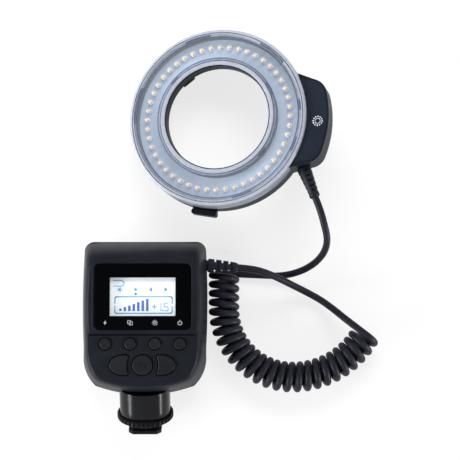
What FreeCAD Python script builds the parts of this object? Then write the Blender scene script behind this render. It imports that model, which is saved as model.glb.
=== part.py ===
# Macro ring light: a ring head that clips to the front of a lens, a control unit for the
# camera's accessory shoe, and the curly cord that joins them.
# The control unit lies on its back with its display up, the ring head lies above it, leaning
# on its far edge, and the cord runs between them. Millimetres, +Z up from the table.
import FreeCAD, Part
import math
import os
import re
import Sketcher

os.makedirs("parts", exist_ok=True)
doc = FreeCAD.newDocument("MacroRingLight")
Vector = FreeCAD.Vector
Rotation = FreeCAD.Rotation
Placement = FreeCAD.Placement
UP = Vector(0, 0, 1)

# Driving dimensions, each written once. The text after a value says what it is.
SIZES = [
    ("case_x", -35.8, "control unit: place of its middle on the table"),
    ("case_y", -50.3, "control unit: place of its middle on the table"),
    ("case_width", 71.1, "control unit across its flanks"),
    ("case_height", 87.0, "control unit from its brow to its chin"),
    ("case_depth", 44.0, "control unit from back to front"),
    ("seam_level", 22.0, "height of the seam between the two halves"),
    ("case_wall", 2.0, "moulded wall of both halves"),
    ("flank_bow", 0.8, "how far the flanks bow out over the top corners"),
    ("top_corner", 5.5, "radius of the two top corners"),
    ("flank_end", 24.0, "height of the flanks' lower ends above the chin"),
    ("heel_out", 2.5, "how far the heel curve has come in halfway down"),
    ("heel_level", 12.0, "height of the heel curve's middle above the chin"),
    ("chin_half", 28.0, "half the width of the chin's shallow arc"),
    ("chin_rise", 5.0, "rise of the chin's shallow arc"),
    ("face_inset", 4.3, "how far the flanks lean in up to the front face"),
    ("brow_inset", 10.3, "how far the brow leans in up to the front face"),
    ("chin_inset", 4.5, "how far the chin leans in up to the front face"),
    ("face_edge", 1.4, "bevel round the front face"),
    ("back_inset", 3.0, "how far the flanks lean in down to the back"),
    ("back_edge", 2.0, "bevel round the back"),
    ("window_width", 54.3, "display glass"),
    ("window_height", 0.4253, "display glass: share of the height"),
    ("window_up", 0.1276, "display glass: its middle above the unit's middle, share of the height"),
    ("window_corner", 3.3, "display glass corner radius"),
    ("window_thick", 1.3, "display glass thickness"),
    ("window_proud", 0.2, "how far the glass stands over the face"),
    ("lit_width", 36.7, "lit part of the display"),
    ("lit_height", 21.5, "lit part of the display"),
    ("panel_thick", 2.6, "display module thickness"),
    ("panel_margin", 4.0, "display module's frame round its lit part"),
    ("pad_edge", 0.6, "step between the display half and the key half of the face"),
    ("pad_level", -0.1103, "place of that step over the unit's middle, share of the height"),
    ("small_key", 6.6, "round key diameter"),
    ("small_pitch", 13.9, "pitch of the four round keys"),
    ("small_row", -0.1747, "row of the four round keys, share of the height"),
    ("centre_key", 11.4, "centre key diameter"),
    ("lower_row", -0.3103, "row of the three lower keys, share of the height"),
    ("wing_inner", 7.8, "side keys: inner edge from the middle"),
    ("wing_outer", 18.6, "side keys: outer edge from the middle"),
    ("wing_half", 5.7, "side keys: half their height"),
    ("key_gap", 0.25, "clearance round each key"),
    ("key_proud", 0.9, "how far the keys stand over the face"),
    ("key_travel", 0.8, "stroke of each key"),
    ("key_flange", 0.9, "flange under each key"),
    ("flange_thick", 1.0, "thickness of that flange"),
    ("flange_drop", 0.4, "gap over the flange at rest"),
    ("mat_edge", 5.0, "key mat: how far it reaches past the outer round keys' middles"),
    ("mat_clear", 0.5, "gap between the key mat and the screw pillars"),
    ("mat_thick", 1.2, "rubber key mat"),
    ("pillar_wall", 1.0, "wall of the pillars round the screw heads"),
    ("board_thick", 1.6, "circuit boards"),
    ("board_clear", 4.25, "gap between main board and case"),
    ("board_top", 5.2, "main board: its upper edge under the brow's inside"),
    ("board_low", 6.0, "main board: its lower edge over the chin's inside"),
    ("fit_gap", 0.2, "clearance between loose parts of one housing"),
    ("cell_diameter", 14.2, "AA cell"),
    ("cell_length", 50.0, "AA cell"),
    ("cell_pitch", 14.3, "pitch of the cells"),
    ("bay_slack", 0.6, "room beside the cells"),
    ("bay_spare", 3.4, "room for the contacts at both ends of the cells"),
    ("cell_lift", 3.0, "underside of the cells over the back face"),
    ("bay_height", 19.2, "inside of the battery bay, over the back face"),
    ("bay_wall", 0.9, "wall of the battery bay"),
    ("contact_height", 11.0, "contact plate"),
    ("bay_low", -23.0, "lower end of the battery bay"),
    ("contact_thick", 0.5, "contact plate"),
    ("door_thick", 1.8, "battery door"),
    ("door_recess", 0.4, "how deep the door lies under the back face"),
    ("door_tongue", 0.9, "tongue along each side of the door"),
    ("tongue_thick", 0.8, "thickness of those tongues"),
    ("door_gap", 0.3, "clearance round the door"),
    ("door_strip", 3.2, "strip of the back beside the door"),
    ("screw_head", 4.6, "case screw head diameter"),
    ("screw_shank", 2.2, "case screw shank diameter"),
    ("screw_sunk", 3.0, "how deep the screw heads seat"),
    ("screw_bite", 9.0, "how far the screws reach into the front half"),
    ("screw_x", 21.0, "case screws beside the middle"),
    ("screw_up", 7.3, "case screws above the chin"),
    ("shoe_tilt", 26.0, "degrees by which the shoe leans back"),
    ("shoe_level", 20.5, "height where the shoe's axis leaves the chin"),
    ("neck_width", 28.7, "neck block"),
    ("neck_thick", 23.0, "neck block"),
    ("neck_corner", 5.0, "corner radius of the neck block"),
    ("neck_length", 9.6, "neck block, from the chin along the axis"),
    ("wheel_diameter", 32.0, "lock wheel"),
    ("wheel_thick", 3.4, "lock wheel"),
    ("wheel_gap", 0.5, "gap between neck and wheel when open"),
    ("wheel_flutes", 36, "grip flutes round the wheel"),
    ("flute_deep", 0.75, "depth of a flute"),
    ("stem_diameter", 15.0, "stem that carries the wheel"),
    ("stem_gap", 0.3, "clearance round the stem"),
    ("washer_diameter", 23.0, "clamp washer"),
    ("washer_thick", 1.3, "clamp washer"),
    ("clamp_stroke", 1.5, "travel of wheel and washer"),
    ("stack_gap", 0.2, "gap between wheel, washer and foot block"),
    ("rail_gap", 3.4, "room for the camera's rails with the clamp open"),
    ("foot_width", 18.6, "foot plate, as the standard shoe asks"),
    ("foot_thick", 2.0, "foot plate"),
    ("foot_chamfer", 2.5, "cut corners of the foot plate"),
    ("foot_boss", 12.0, "block between foot plate and stem"),
    ("pin_diameter", 2.4, "centre contact"),
    ("pin_proud", 0.9, "how far the centre contact stands out"),
    ("small_pin", 1.4, "three smaller contacts"),
    ("ring_x", 8.6, "ring head: place of its back centre"),
    ("ring_y", 62.7, "ring head: place of its back centre"),
    ("ring_lean", -12.0, "degrees the ring leans about Y"),
    ("ring_pitch", -6.0, "degrees the ring leans about X"),
    ("ring_turn", -4.0, "degrees the ring is turned in its own plane"),
    ("ring_radius", 52.0, "outer radius of the ring head"),
    ("ring_depth", 17.0, "ring head from back to front"),
    ("bore_radius", 30.2, "clear opening for the lens"),
    ("bore_lip", 1.1, "thickness of the lip round the opening"),
    ("lip_top", 16.4, "top of that lip"),
    ("seat_radius", 34.0, "recess for the lens adapter ring"),
    ("seat_depth", 9.6, "depth of that recess"),
    ("shell_wall", 1.6, "walls of the ring housing"),
    ("shell_top", 8.3, "top of the black side wall"),
    ("floor_level", 4.9, "underside of the housing's floor"),
    ("board_level", 9.9, "underside of the lamp board"),
    ("board_inner", 34.8, "inner radius of the lamp board"),
    ("board_outer", 47.2, "outer radius of the lamp board"),
    ("cover_wall", 2.0, "wall of the clear front cover"),
    ("cover_plate", 1.2, "front plate of the cover"),
    ("cover_dip", 0.35, "how far the plate lies under its two rims"),
    ("rim_width", 3.6, "inner rim of the cover, from the opening outwards"),
    ("lamp_count", 48, "white lamps"),
    ("lamp_circle", 42.1, "radius of their circle"),
    ("lamp_radius", 1.7, "one lamp"),
    ("lamp_height", 3.9, "one lamp over the board"),
    ("plate_thick", 1.5, "rear plate"),
    ("plate_screw", 2.8, "rear plate screw head diameter"),
    ("plate_clear", 0.4, "gap between those screws and the release slide"),
    ("slide_low", 1.8, "underside of the release slide"),
    ("slide_thick", 2.7, "release slide"),
    ("slide_clear", 2.2, "release slide: room round the recess's wall"),
    ("slide_band", 5.4, "width of the release slide's ring"),
    ("slide_stroke", 1.8, "travel of the release slide"),
    ("tab_angle", -95.5, "direction of the release tab in the ring"),
    ("tab_width", 14.8, "release tab"),
    ("tab_reach", 3.7, "how far the tab stands out of the ring"),
    ("claw_angle", 48.5, "claws, either side of the line opposite the tab"),
    ("claw_width", 8.0, "one claw"),
    ("claw_bite", 0.4, "how far a claw stands into the opening"),
    ("spring_radius", 1.3, "release spring"),
    ("spring_aside", 14.0, "release springs beside the slide's line"),
    ("box_radius", 64.5, "outer radius of the junction box"),
    ("box_angle", 32.2, "degrees between the box's middle and its roots in the ring"),
    ("box_side_x", 54.6, "box: outer end of its flanks"),
    ("box_side_y", 24.3, "box: outer end of its flanks"),
    ("box_bend_x", 59.3, "box: middle of its rounded corners"),
    ("box_bend_y", 21.9, "box: middle of its rounded corners"),
    ("box_knee_x", 61.9, "box: end of its rounded corners"),
    ("box_knee_y", 17.6, "box: end of its rounded corners"),
    ("box_low", 1.2, "back of the junction box"),
    ("box_top", 15.0, "front of the junction box"),
    ("box_wall", 1.5, "wall of the junction box"),
    ("cord_diameter", 3.8, "cord"),
    ("coil_radius", 6.8, "curls, at the middle of the cord"),
    ("curl_halves", 51, "half turns of the curls"),
    ("coil_x", 8.9, "place of the curls' straight part"),
    ("coil_y", -23.8, "start of the curls' straight part"),
    ("coil_lift", 9.0, "height of the curls' middle line"),
    ("coil_straight", 20.5, "length of the straight part"),
    ("bend_one", 39.5, "radius of the first bend of the curls"),
    ("sweep_one", 90.0, "degrees of the first bend"),
    ("bend_two", 48.3, "radius of the second bend"),
    ("sweep_two", 60.0, "degrees of the second bend"),
    ("boot_root", 3.85, "cord boots: radius at the wall"),
    ("boot_tip", 2.8, "cord boots: radius at the tip"),
    ("boot_neck", 1.0, "cord boots: how much their neck in the wall is drawn in"),
    ("case_boot", 17.5, "length of the control unit's boot"),
    ("ring_boot", 19.0, "length of the ring's boot"),
    ("case_boot_up", 30.0, "control unit's boot above the unit's middle"),
    ("case_boot_turn", -4.5, "degrees this boot points down"),
    ("ring_boot_x", 50.8, "ring's boot: where it leaves the box"),
    ("ring_boot_y", -25.25, "ring's boot: where it leaves the box"),
    ("ring_boot_level", 7.0, "ring's boot over the back plane"),
    ("ring_boot_turn", -64.0, "direction of the ring's boot in the ring"),
]
sheet = doc.addObject("Spreadsheet::Sheet", "sizes")
for row, (alias, value, note) in enumerate(SIZES, start=1):
    sheet.set("A%d" % row, note)
    sheet.set("B%d" % row, str(value))
    sheet.setAlias("B%d" % row, alias)
doc.recompute()

FUNCTIONS = {"cos", "sin", "tan", "sqrt", "min", "max"}


def linked(expression):
    """The same expression with each plain word pointing at its cell of the sheet."""
    def cell(match):
        word = match.group(0)
        return word if word in FUNCTIONS else "sizes." + word
    return re.sub(r"[a-z][a-z_]+", cell, str(expression))


def num(expression):
    """The present value of an expression in the sheet's words."""
    return float(sheet.evalExpression(linked(expression)))


def bind(obj, **properties):
    for name, expression in properties.items():
        obj.setExpression(name, linked(expression))


def new_body(label, place=None):
    body = doc.addObject("PartDesign::Body", label)
    body.Label = label
    if place is not None:
        body.Placement = place
    return body


def new_sketch(body, name, plane="XY_Plane", level="0"):
    """A sketch on one of the body's own planes, lifted to a level along its normal."""
    sketch = body.newObject("Sketcher::SketchObject", name)
    planes = [f for f in body.Origin.OriginFeatures if f.Role == plane]
    sketch.AttachmentSupport = [(planes[0], "")]
    sketch.MapMode = "FlatFace"
    sketch.setExpression("AttachmentOffset.Base.z", linked(level))
    return sketch


def fix(sketch, kind, *where):
    """A driving constraint whose value follows an expression."""
    expression = where[-1]
    number = sketch.addConstraint(Sketcher.Constraint(kind, *where[:-1], num(expression)))
    sketch.setExpression("Constraints[%d]" % number, linked(expression))


def pin_down(sketch, geometry, position, x, y):
    fix(sketch, "DistanceX", geometry, position, x)
    fix(sketch, "DistanceY", geometry, position, y)


def loop(sketch, start, steps, close=None):
    """A closed outline. A step is (x, y), or (mid x, mid y, x, y) for an arc; close is an arc's mid."""
    last = tuple(close) + tuple(start) if close else tuple(start)
    steps = [tuple(step) for step in steps] + [last]
    ends = []
    before = start
    for step in steps:
        a = Vector(num(before[0]), num(before[1]), 0)
        b = Vector(num(step[-2]), num(step[-1]), 0)
        if len(step) == 2:
            geometry = sketch.addGeometry(Part.LineSegment(a, b), False)
            ends.append((geometry, 1, 2))
        else:
            middle = Vector(num(step[0]), num(step[1]), 0)
            geometry = sketch.addGeometry(Part.Arc(a, middle, b), False)
            left_turn = (middle - a).cross(b - middle).z > 0
            ends.append((geometry, 1, 2) if left_turn else (geometry, 2, 1))
            mark = sketch.addGeometry(Part.Point(middle), True)
            pin_down(sketch, mark, 1, step[0], step[1])
            sketch.addConstraint(Sketcher.Constraint("PointOnObject", mark, 1, geometry))
        pin_down(sketch, geometry, ends[-1][1], before[0], before[1])
        before = step[-2:]
    for (one, _, tail), (two, head, _) in zip(ends, ends[1:] + ends[:1]):
        sketch.addConstraint(Sketcher.Constraint("Coincident", one, tail, two, head))
    return sketch


def ring(sketch, x, y, radius):
    geometry = sketch.addGeometry(Part.Circle(Vector(num(x), num(y), 0), UP, num(radius)), False)
    pin_down(sketch, geometry, 3, x, y)
    fix(sketch, "Radius", geometry, radius)
    return sketch


def rectangle(sketch, x, y, width, height):
    """A rectangle about a middle point."""
    left, right = "%s - (%s)/2" % (x, width), "%s + (%s)/2" % (x, width)
    low, high = "%s - (%s)/2" % (y, height), "%s + (%s)/2" % (y, height)
    return loop(sketch, (left, low), [(right, low), (right, high), (left, high)])


def soft_rectangle(sketch, x, y, width, height, corner):
    """A rectangle with rounded corners about a middle point."""
    cut = "0.2929*(%s)" % corner
    left, right = "%s - (%s)/2" % (x, width), "%s + (%s)/2" % (x, width)
    low, high = "%s - (%s)/2" % (y, height), "%s + (%s)/2" % (y, height)
    return loop(sketch, (left + " + " + corner, low), [
        (right + " - " + corner, low),
        (right + " - " + cut, low + " + " + cut, right, low + " + " + corner),
        (right, high + " - " + corner),
        (right + " - " + cut, high + " - " + cut, right + " - " + corner, high),
        (left + " + " + corner, high),
        (left + " + " + cut, high + " - " + cut, left, high + " - " + corner),
        (left, low + " + " + corner),
    ], close=(left + " + " + cut, low + " + " + cut))


def pad(body, sketch, length, name):
    feature = body.newObject("PartDesign::Pad", name)
    feature.Profile = sketch
    bind(feature, Length=length)
    doc.recompute()
    return feature


def pocket(body, sketch, length, name, upward=False):
    """Cuts down from the sketch, or up, and makes sure that it took something away."""
    before = body.Tip.Shape.Volume
    feature = body.newObject("PartDesign::Pocket", name)
    feature.Profile = sketch
    feature.Reversed = upward
    bind(feature, Length=length)
    doc.recompute()
    if feature.Shape.Volume >= before:
        raise ValueError("pocket %s cuts nothing" % name)
    return feature


def revolve(body, name, start, steps, close=None):
    """A full turn about Z of a profile drawn as radius and height."""
    sketch = loop(new_sketch(body, name + "_profile", "XZ_Plane"), start, steps, close)
    feature = body.newObject("PartDesign::Revolution", name)
    feature.Profile = sketch
    feature.ReferenceAxis = (sketch, ["V_Axis"])
    feature.Angle = 360
    doc.recompute()
    return feature


def polar(body, originals, count, name):
    """Repeats features round Z; the body shows it once it is the tip."""
    feature = body.newObject("PartDesign::PolarPattern", name)
    feature.Originals = originals
    feature.Axis = (originals[0].Profile[0], ["N_Axis"])
    feature.Angle = 360
    bind(feature, Occurrences=count)
    body.Tip = feature
    doc.recompute()
    return feature


def feature_from(label, shape, place=None):
    """A plain feature for a form that neither sketches nor primitives make."""
    feature = doc.addObject("Part::Feature", label)
    feature.Label = label
    feature.Shape = shape
    if place is not None:
        feature.Placement = place
    return feature


# The control unit lies on its back. Its own frame has its middle on the table.
unit = Placement(Vector(num("case_x"), num("case_y"), 0), Rotation())


def case_outline(sketch, side, top, low):
    """The case seen from the front, drawn in by so much at its flanks, brow and chin."""
    half = "(case_width/2 - (%s))" % side
    brow = "(case_height/2 - (%s))" % top
    foot = "(-case_height/2 + (%s))" % low
    flat = half + " - flank_bow - top_corner"
    bend = half + " - flank_bow - 0.2929*top_corner"
    bend_up = brow + " - 0.2929*top_corner"
    knee = "chin_half - 0.7*(%s)" % side
    return loop(sketch, ("-(%s)" % flat, brow), [
        (flat, brow),
        (bend, bend_up, half + " - flank_bow", brow + " - top_corner"),
        (half, "0.1*case_height", half + " - flank_bow", foot + " + flank_end"),
        (half + " - heel_out", foot + " + heel_level", knee, foot + " + chin_rise"),
        ("0", foot, "-(%s)" % knee, foot + " + chin_rise"),
        ("-(%s - heel_out)" % half, foot + " + heel_level",
         "-(%s - flank_bow)" % half, foot + " + flank_end"),
        ("-" + half, "0.1*case_height", "-(%s - flank_bow)" % half, brow + " - top_corner"),
    ], close=("-(%s)" % bend, bend_up))


def hollow_outline(sketch, side, top, low):
    """The inside of the case: straight runs between the same points as the outline's arcs."""
    half = "(case_width/2 - flank_bow - (%s))" % side
    brow = "(case_height/2 - (%s))" % top
    foot = "(-case_height/2 + (%s))" % low
    right = [(half + " - top_corner", brow), (half, brow + " - top_corner"), (half, foot + " + flank_end"),
             (half + " - heel_out + flank_bow", foot + " + heel_level"),
             ("chin_half - (%s)" % side, foot + " + chin_rise"), ("chin_half/2 - (%s)" % side, foot + " + 1.3")]
    left = [("-(%s)" % x, y) for x, y in reversed(right)]
    return loop(sketch, right[0], right[1:] + left)


def case_form(body, name, levels, outline=case_outline, kind="AdditiveLoft"):
    """One half of the case or of its hollow, lofted through outlines at several levels."""
    sketches = []
    for i, (level, side, top, low) in enumerate(levels):
        sketch = new_sketch(body, "%s_%d" % (name, i), level=level)
        sketches.append(outline(sketch, side, top, low))
    doc.recompute()
    loft = body.newObject("PartDesign::" + kind, name)
    loft.Profile = sketches[0]
    loft.Sections = sketches[1:]
    loft.Ruled = True
    doc.recompute()
    return loft


def round_keys():
    """Middle, diameter and name of each round key."""
    keys = [("key_%s" % name, "%s*small_pitch" % place, "small_row*case_height", "small_key")
            for name, place in (("pilot", -1.5), ("mode", -0.5), ("light", 0.5), ("power", 1.5))]
    return keys + [("key_centre", "0", "lower_row*case_height", "centre_key")]


def wing(sketch, hand, grow):
    """A side key: straight at top and bottom, bowed outside, hollow towards the centre key."""
    inner = "%d*(wing_inner - (%s))" % (hand, grow)
    corner = "%d*(wing_inner - 1.7 - (%s))" % (hand, grow)
    outer = "%d*(wing_outer + (%s))" % (hand, grow)
    bow = "%d*(wing_outer - 4.4)" % hand
    high, low = "lower_row*case_height + wing_half + (%s)" % grow, "lower_row*case_height - wing_half - (%s)" % grow
    return loop(sketch, (corner, high), [(bow, high), (outer, "lower_row*case_height", bow, low), (corner, low)],
                close=(inner, "lower_row*case_height"))


FACE = "case_depth"
PAD_FACE = "(case_depth - pad_edge)"

# Front half: brow, flanks and chin lean in to the face, which is bevelled all round. The half
# with the keys lies a step lower than the half with the display.
front = new_body("front_case", unit)
front_form = case_form(front, "front_form", [
    ("seam_level", "0", "0", "0"),
    ("case_depth - face_edge", "face_inset - face_edge", "brow_inset - face_edge",
     "chin_inset - face_edge"),
    (FACE, "face_inset", "brow_inset", "chin_inset"),
])
case_form(front, "front_hollow", [
    ("seam_level", "case_wall", "case_wall", "case_wall"),
    ("case_depth - pad_edge - case_wall", "face_inset - face_edge + case_wall",
     "brow_inset - face_edge + case_wall", "chin_inset - face_edge + case_wall"),
], hollow_outline, "SubtractiveLoft")
step = new_sketch(front, "pad_step", level=FACE)
rectangle(step, "0", "(pad_level*case_height - case_height/2)/2", "case_width", "pad_level*case_height + case_height/2")
pocket(front, step, "pad_edge", "pad_lowered")
glass_seat = new_sketch(front, "glass_seat", level=FACE)
soft_rectangle(glass_seat, "0", "window_up*case_height", "window_width + 2*fit_gap", "window_height*case_height + 2*fit_gap",
               "window_corner")
pocket(front, glass_seat, "window_thick - window_proud + 0.05", "glass_recess")
light_well = new_sketch(front, "light_well", level=FACE)
rectangle(light_well, "0", "window_up*case_height", "lit_width + panel_margin", "lit_height + panel_margin")
pocket(front, light_well, "case_wall + pad_edge + 1", "light_opening")
holes = new_sketch(front, "key_holes", level=FACE)
for _, x, y, diameter in round_keys():
    ring(holes, x, y, "%s/2 + key_gap" % diameter)
for hand in (-1, 1):
    wing(holes, hand, "key_gap")
pocket(front, holes, "case_wall + pad_edge + 1", "key_openings")

# Rear half: the same outline, with a bay for the cells behind a sliding door.
rear = new_body("rear_case", unit)
rear_form = case_form(rear, "rear_form", [
    ("0", "back_inset", "back_inset", "back_inset"),
    ("back_edge", "back_inset - back_edge", "back_inset - back_edge", "back_inset - back_edge"),
    ("seam_level", "0", "0", "0"),
])
REAR_FLOOR = "(door_recess + door_thick + door_gap + 1.1)"
REAR_IN = "back_inset - back_edge + case_wall"
case_form(rear, "rear_hollow", [
    (REAR_FLOOR, REAR_IN, REAR_IN, REAR_IN),
    ("seam_level", "case_wall", "case_wall", "case_wall"),
], hollow_outline, "SubtractiveLoft")
BAY_WIDTH = "(4*cell_pitch + bay_slack)"
BAY_LONG = "(cell_length + bay_spare)"
BAY_MIDDLE = "(bay_low + %s/2)" % BAY_LONG
DOOR_WAY = "(case_width - 2*back_inset - 2*door_strip)"
DOOR_ROOF = "(door_recess + door_thick + door_gap)"
bay = new_sketch(rear, "bay", level="case_wall")
rectangle(bay, "0", BAY_MIDDLE, BAY_WIDTH + " + 2*bay_wall", BAY_LONG + " + 2*bay_wall")
pad(rear, bay, "bay_height + bay_wall - case_wall", "bay_block")
bay_room = new_sketch(rear, "bay_room", level=DOOR_ROOF + " - 0.1")
rectangle(bay_room, "0", BAY_MIDDLE, BAY_WIDTH, BAY_LONG)
pocket(rear, bay_room, "bay_height - %s + 0.1" % DOOR_ROOF, "bay_inside", upward=True)
DOOR_LONG = "(case_height/2 + 1 - bay_low)"
DOOR_MIDDLE = "((case_height/2 + 1 + bay_low)/2)"
channel = new_sketch(rear, "door_channel")
rectangle(channel, "0", DOOR_MIDDLE, DOOR_WAY, DOOR_LONG)
pocket(rear, channel, DOOR_ROOF, "door_way", upward=True)
grooves = new_sketch(rear, "door_grooves", level="door_recess + door_thick - tongue_thick - door_gap")
rectangle(grooves, "0", DOOR_MIDDLE, DOOR_WAY + " + 2*door_tongue", DOOR_LONG)
pocket(rear, grooves, "tongue_thick + 2*door_gap", "tongue_way", upward=True)

# Battery door: a plate with a tongue along each side, an end lip and grip ribs.
door = new_body("battery_door", unit)
DOOR_WIDTH = "(%s - 2*door_gap)" % DOOR_WAY
DOOR_END = "(case_height/2 - back_inset)"
DOOR_PLATE = "(case_height/2 - back_inset - bay_low - door_gap)"
DOOR_AT = "((case_height/2 - back_inset + bay_low + door_gap)/2)"
plate = new_sketch(door, "door_plate", level="door_recess")
rectangle(plate, "0", DOOR_AT, DOOR_WIDTH, DOOR_PLATE)
pad(door, plate, "door_thick", "door_body")
tongues = new_sketch(door, "door_tongues", level="door_recess + door_thick - tongue_thick")
rectangle(tongues, "0", DOOR_AT, DOOR_WIDTH + " + 2*door_tongue", DOOR_PLATE)
pad(door, tongues, "tongue_thick", "door_edges")
for i in range(4):
    rib = new_sketch(door, "grip_%d" % i, level="door_recess")
    rectangle(rib, "0", "%s - 8 - 3*%d" % (DOOR_END, i), "24", "1.2")
    pocket(door, rib, "0.6", "grip_groove_%d" % i, upward=True)

# Four AA cells side by side, each with the small knob of its positive end.
cells = []
for i in range(4):
    x = num("cell_pitch")*(i - 1.5)
    y = num(BAY_MIDDLE) - num("cell_length")/2
    z = num("cell_lift") + num("cell_diameter")/2
    can = Part.makeCylinder(num("cell_diameter")/2, num("cell_length") - 1.2, Vector(x, y, z), Vector(0, 1, 0))
    knob = Part.makeCylinder(2.6, 1.2, Vector(x, y + num("cell_length") - 1.2, z), Vector(0, 1, 0))
    cell = can.fuse(knob).removeSplitter()
    if i % 2:
        cell = cell.mirror(Vector(0, num(BAY_MIDDLE), 0), Vector(0, 1, 0))
    cells.append(cell)
feature_from("battery_cells", Part.makeCompound(cells), unit)

# Contact plates at both ends of the bay: two that join a pair of cells and two single ones at
# the top, and at the bottom the same turned round.
plates = []
for end, spans in ((-1, (-1, 1)), (1, (-1.5, 0, 1.5))):
    for at in spans:
        wide = 2*num("cell_pitch") - 4 if at in (-1, 0, 1) else num("cell_pitch") - 4
        thick = num("contact_thick")
        y = num(BAY_MIDDLE) + end*num(BAY_LONG)/2 - (thick if end > 0 else 0)
        x = num("cell_pitch")*at - wide/2
        plates.append(Part.makeBox(wide, thick, num("contact_height"), Vector(x, y, num("cell_lift") + 1.5)))
feature_from("battery_contacts", Part.makeCompound(plates), unit)

# Display glass, seated in the face, and the display module under it.
glass = new_body("display_window", unit)
sheet_glass = new_sketch(glass, "glass", level="case_depth + window_proud - window_thick")
soft_rectangle(sheet_glass, "0", "window_up*case_height", "window_width", "window_height*case_height", "window_corner")
pad(glass, sheet_glass, "window_thick", "glass_plate")

PANEL_TOP = "(case_depth - case_wall - pad_edge - 0.1)"
module = new_body("display_panel", unit)
frame = new_sketch(module, "module", level=PANEL_TOP + " - panel_thick")
rectangle(frame, "0", "window_up*case_height", "lit_width + 2*panel_margin", "lit_height + 2*panel_margin")
pad(module, frame, "panel_thick", "module_block")
lit = new_sketch(module, "lit", level=PANEL_TOP)
rectangle(lit, "0", "window_up*case_height", "lit_width", "lit_height")
pad(module, lit, "0.6", "lit_block")

# Main board behind the display, and the rubber mat that carries the keys.
MAT_TOP = "(case_depth - pad_edge - case_wall - flange_drop - flange_thick - key_travel - 0.1)"
mat = new_body("button_mat", unit)
rubber = new_sketch(mat, "rubber", level=MAT_TOP + " - mat_thick")
MAT_WIDE = "(1.5*small_pitch + mat_edge)"
MAT_NARROW = "(screw_x - screw_head/2 - pillar_wall - mat_clear)"
MAT_STEP = "(small_row*case_height - small_key/2 - key_flange - 0.3)"
loop(rubber, (MAT_NARROW, "lower_row*case_height - wing_half - 0.4"), [
    (MAT_NARROW, MAT_STEP),
    (MAT_WIDE, MAT_STEP),
    (MAT_WIDE, "small_row*case_height + small_key/2 + key_flange"),
    ("-" + MAT_WIDE, "small_row*case_height + small_key/2 + key_flange"),
    ("-" + MAT_WIDE, MAT_STEP),
    ("-" + MAT_NARROW, MAT_STEP),
    ("-" + MAT_NARROW, "lower_row*case_height - wing_half - 0.4"),
])
pad(mat, rubber, "mat_thick", "mat_sheet")
BOARD_TOP = "(%s - mat_thick)" % MAT_TOP
board = new_body("main_board", unit)
laminate = new_sketch(board, "laminate", level=BOARD_TOP + " - board_thick")
BOARD_HIGH = "(case_height/2 - brow_inset - case_wall - board_top)"
BOARD_LOW = "(-case_height/2 + chin_inset + case_wall + board_low)"
rectangle(laminate, "0", "(%s + %s)/2" % (BOARD_HIGH, BOARD_LOW),
          "case_width - 2*(face_inset + case_wall + board_clear)", "%s - %s" % (BOARD_HIGH, BOARD_LOW))
pad(board, laminate, "board_thick", "board_sheet")

# Keys: caps in the face's openings, each with a flange that keeps it in.
CAP_LOW = "(case_depth - pad_edge - case_wall - flange_drop - flange_thick)"
CAP_LONG = "(case_wall + flange_drop + flange_thick + key_proud)"
for label, x, y, diameter in round_keys():
    key = new_body(label, unit)
    cap = ring(new_sketch(key, label + "_cap", level=CAP_LOW), x, y, diameter + "/2")
    pad(key, cap, CAP_LONG, label + "_post")
    brim = ring(new_sketch(key, label + "_brim", level=CAP_LOW), x, y, diameter + "/2 + key_flange")
    pad(key, brim, "flange_thick", label + "_flange")
for label, hand in (("key_left", -1), ("key_right", 1)):
    key = new_body(label, unit)
    pad(key, wing(new_sketch(key, label + "_cap", level=CAP_LOW), hand, "0"), CAP_LONG, label + "_post")
    brim = wing(new_sketch(key, label + "_brim", level=CAP_LOW), hand, "key_flange - 0.3")
    pad(key, brim, "flange_thick", label + "_flange")

# Two case screws, from the back, below the battery bay, in pillars of both halves.
SCREW_X = ("-screw_x", "screw_x")
SCREW_Y = "(-case_height/2 + screw_up)"
PILLARS = (
    (rear, "rear", "case_wall", "seam_level"),
    (front, "front", "seam_level", PAD_FACE + " - case_wall/2"),
)
for body, name, low, high in PILLARS:
    for i, x in enumerate(SCREW_X):
        sketch = new_sketch(body, "%s_pillar_%d" % (name, i), level=low)
        ring(sketch, x, SCREW_Y, "screw_head/2 + pillar_wall")
        pad(body, sketch, "%s - (%s)" % (high, low), "%s_post_%d" % (name, i))
sinks = new_sketch(rear, "screw_sinks")
shafts = new_sketch(rear, "screw_shafts")
pilots = new_sketch(front, "screw_pilots", level="seam_level")
for x in SCREW_X:
    ring(sinks, x, SCREW_Y, "screw_head/2 + 0.1")
    ring(shafts, x, SCREW_Y, "screw_shank/2 + 0.15")
    ring(pilots, x, SCREW_Y, "screw_shank/2")
pocket(rear, sinks, "screw_sunk", "screw_heads", upward=True)
pocket(rear, shafts, "seam_level", "screw_holes", upward=True)
pocket(front, pilots, "screw_bite", "screw_threads", upward=True)
screws = []
for side in (-1, 1):
    at = Vector(side*num("screw_x"), num(SCREW_Y), num("screw_sunk"))
    head = Part.makeCylinder(num("screw_head")/2, num("screw_sunk") - 0.8, at, Vector(0, 0, -1))
    shank = Part.makeCylinder(num("screw_shank")/2, num("seam_level + screw_bite - screw_sunk"), at)
    screws.append(head.fuse(shank))
feature_from("case_screws", Part.makeCompound(screws), unit)

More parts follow.
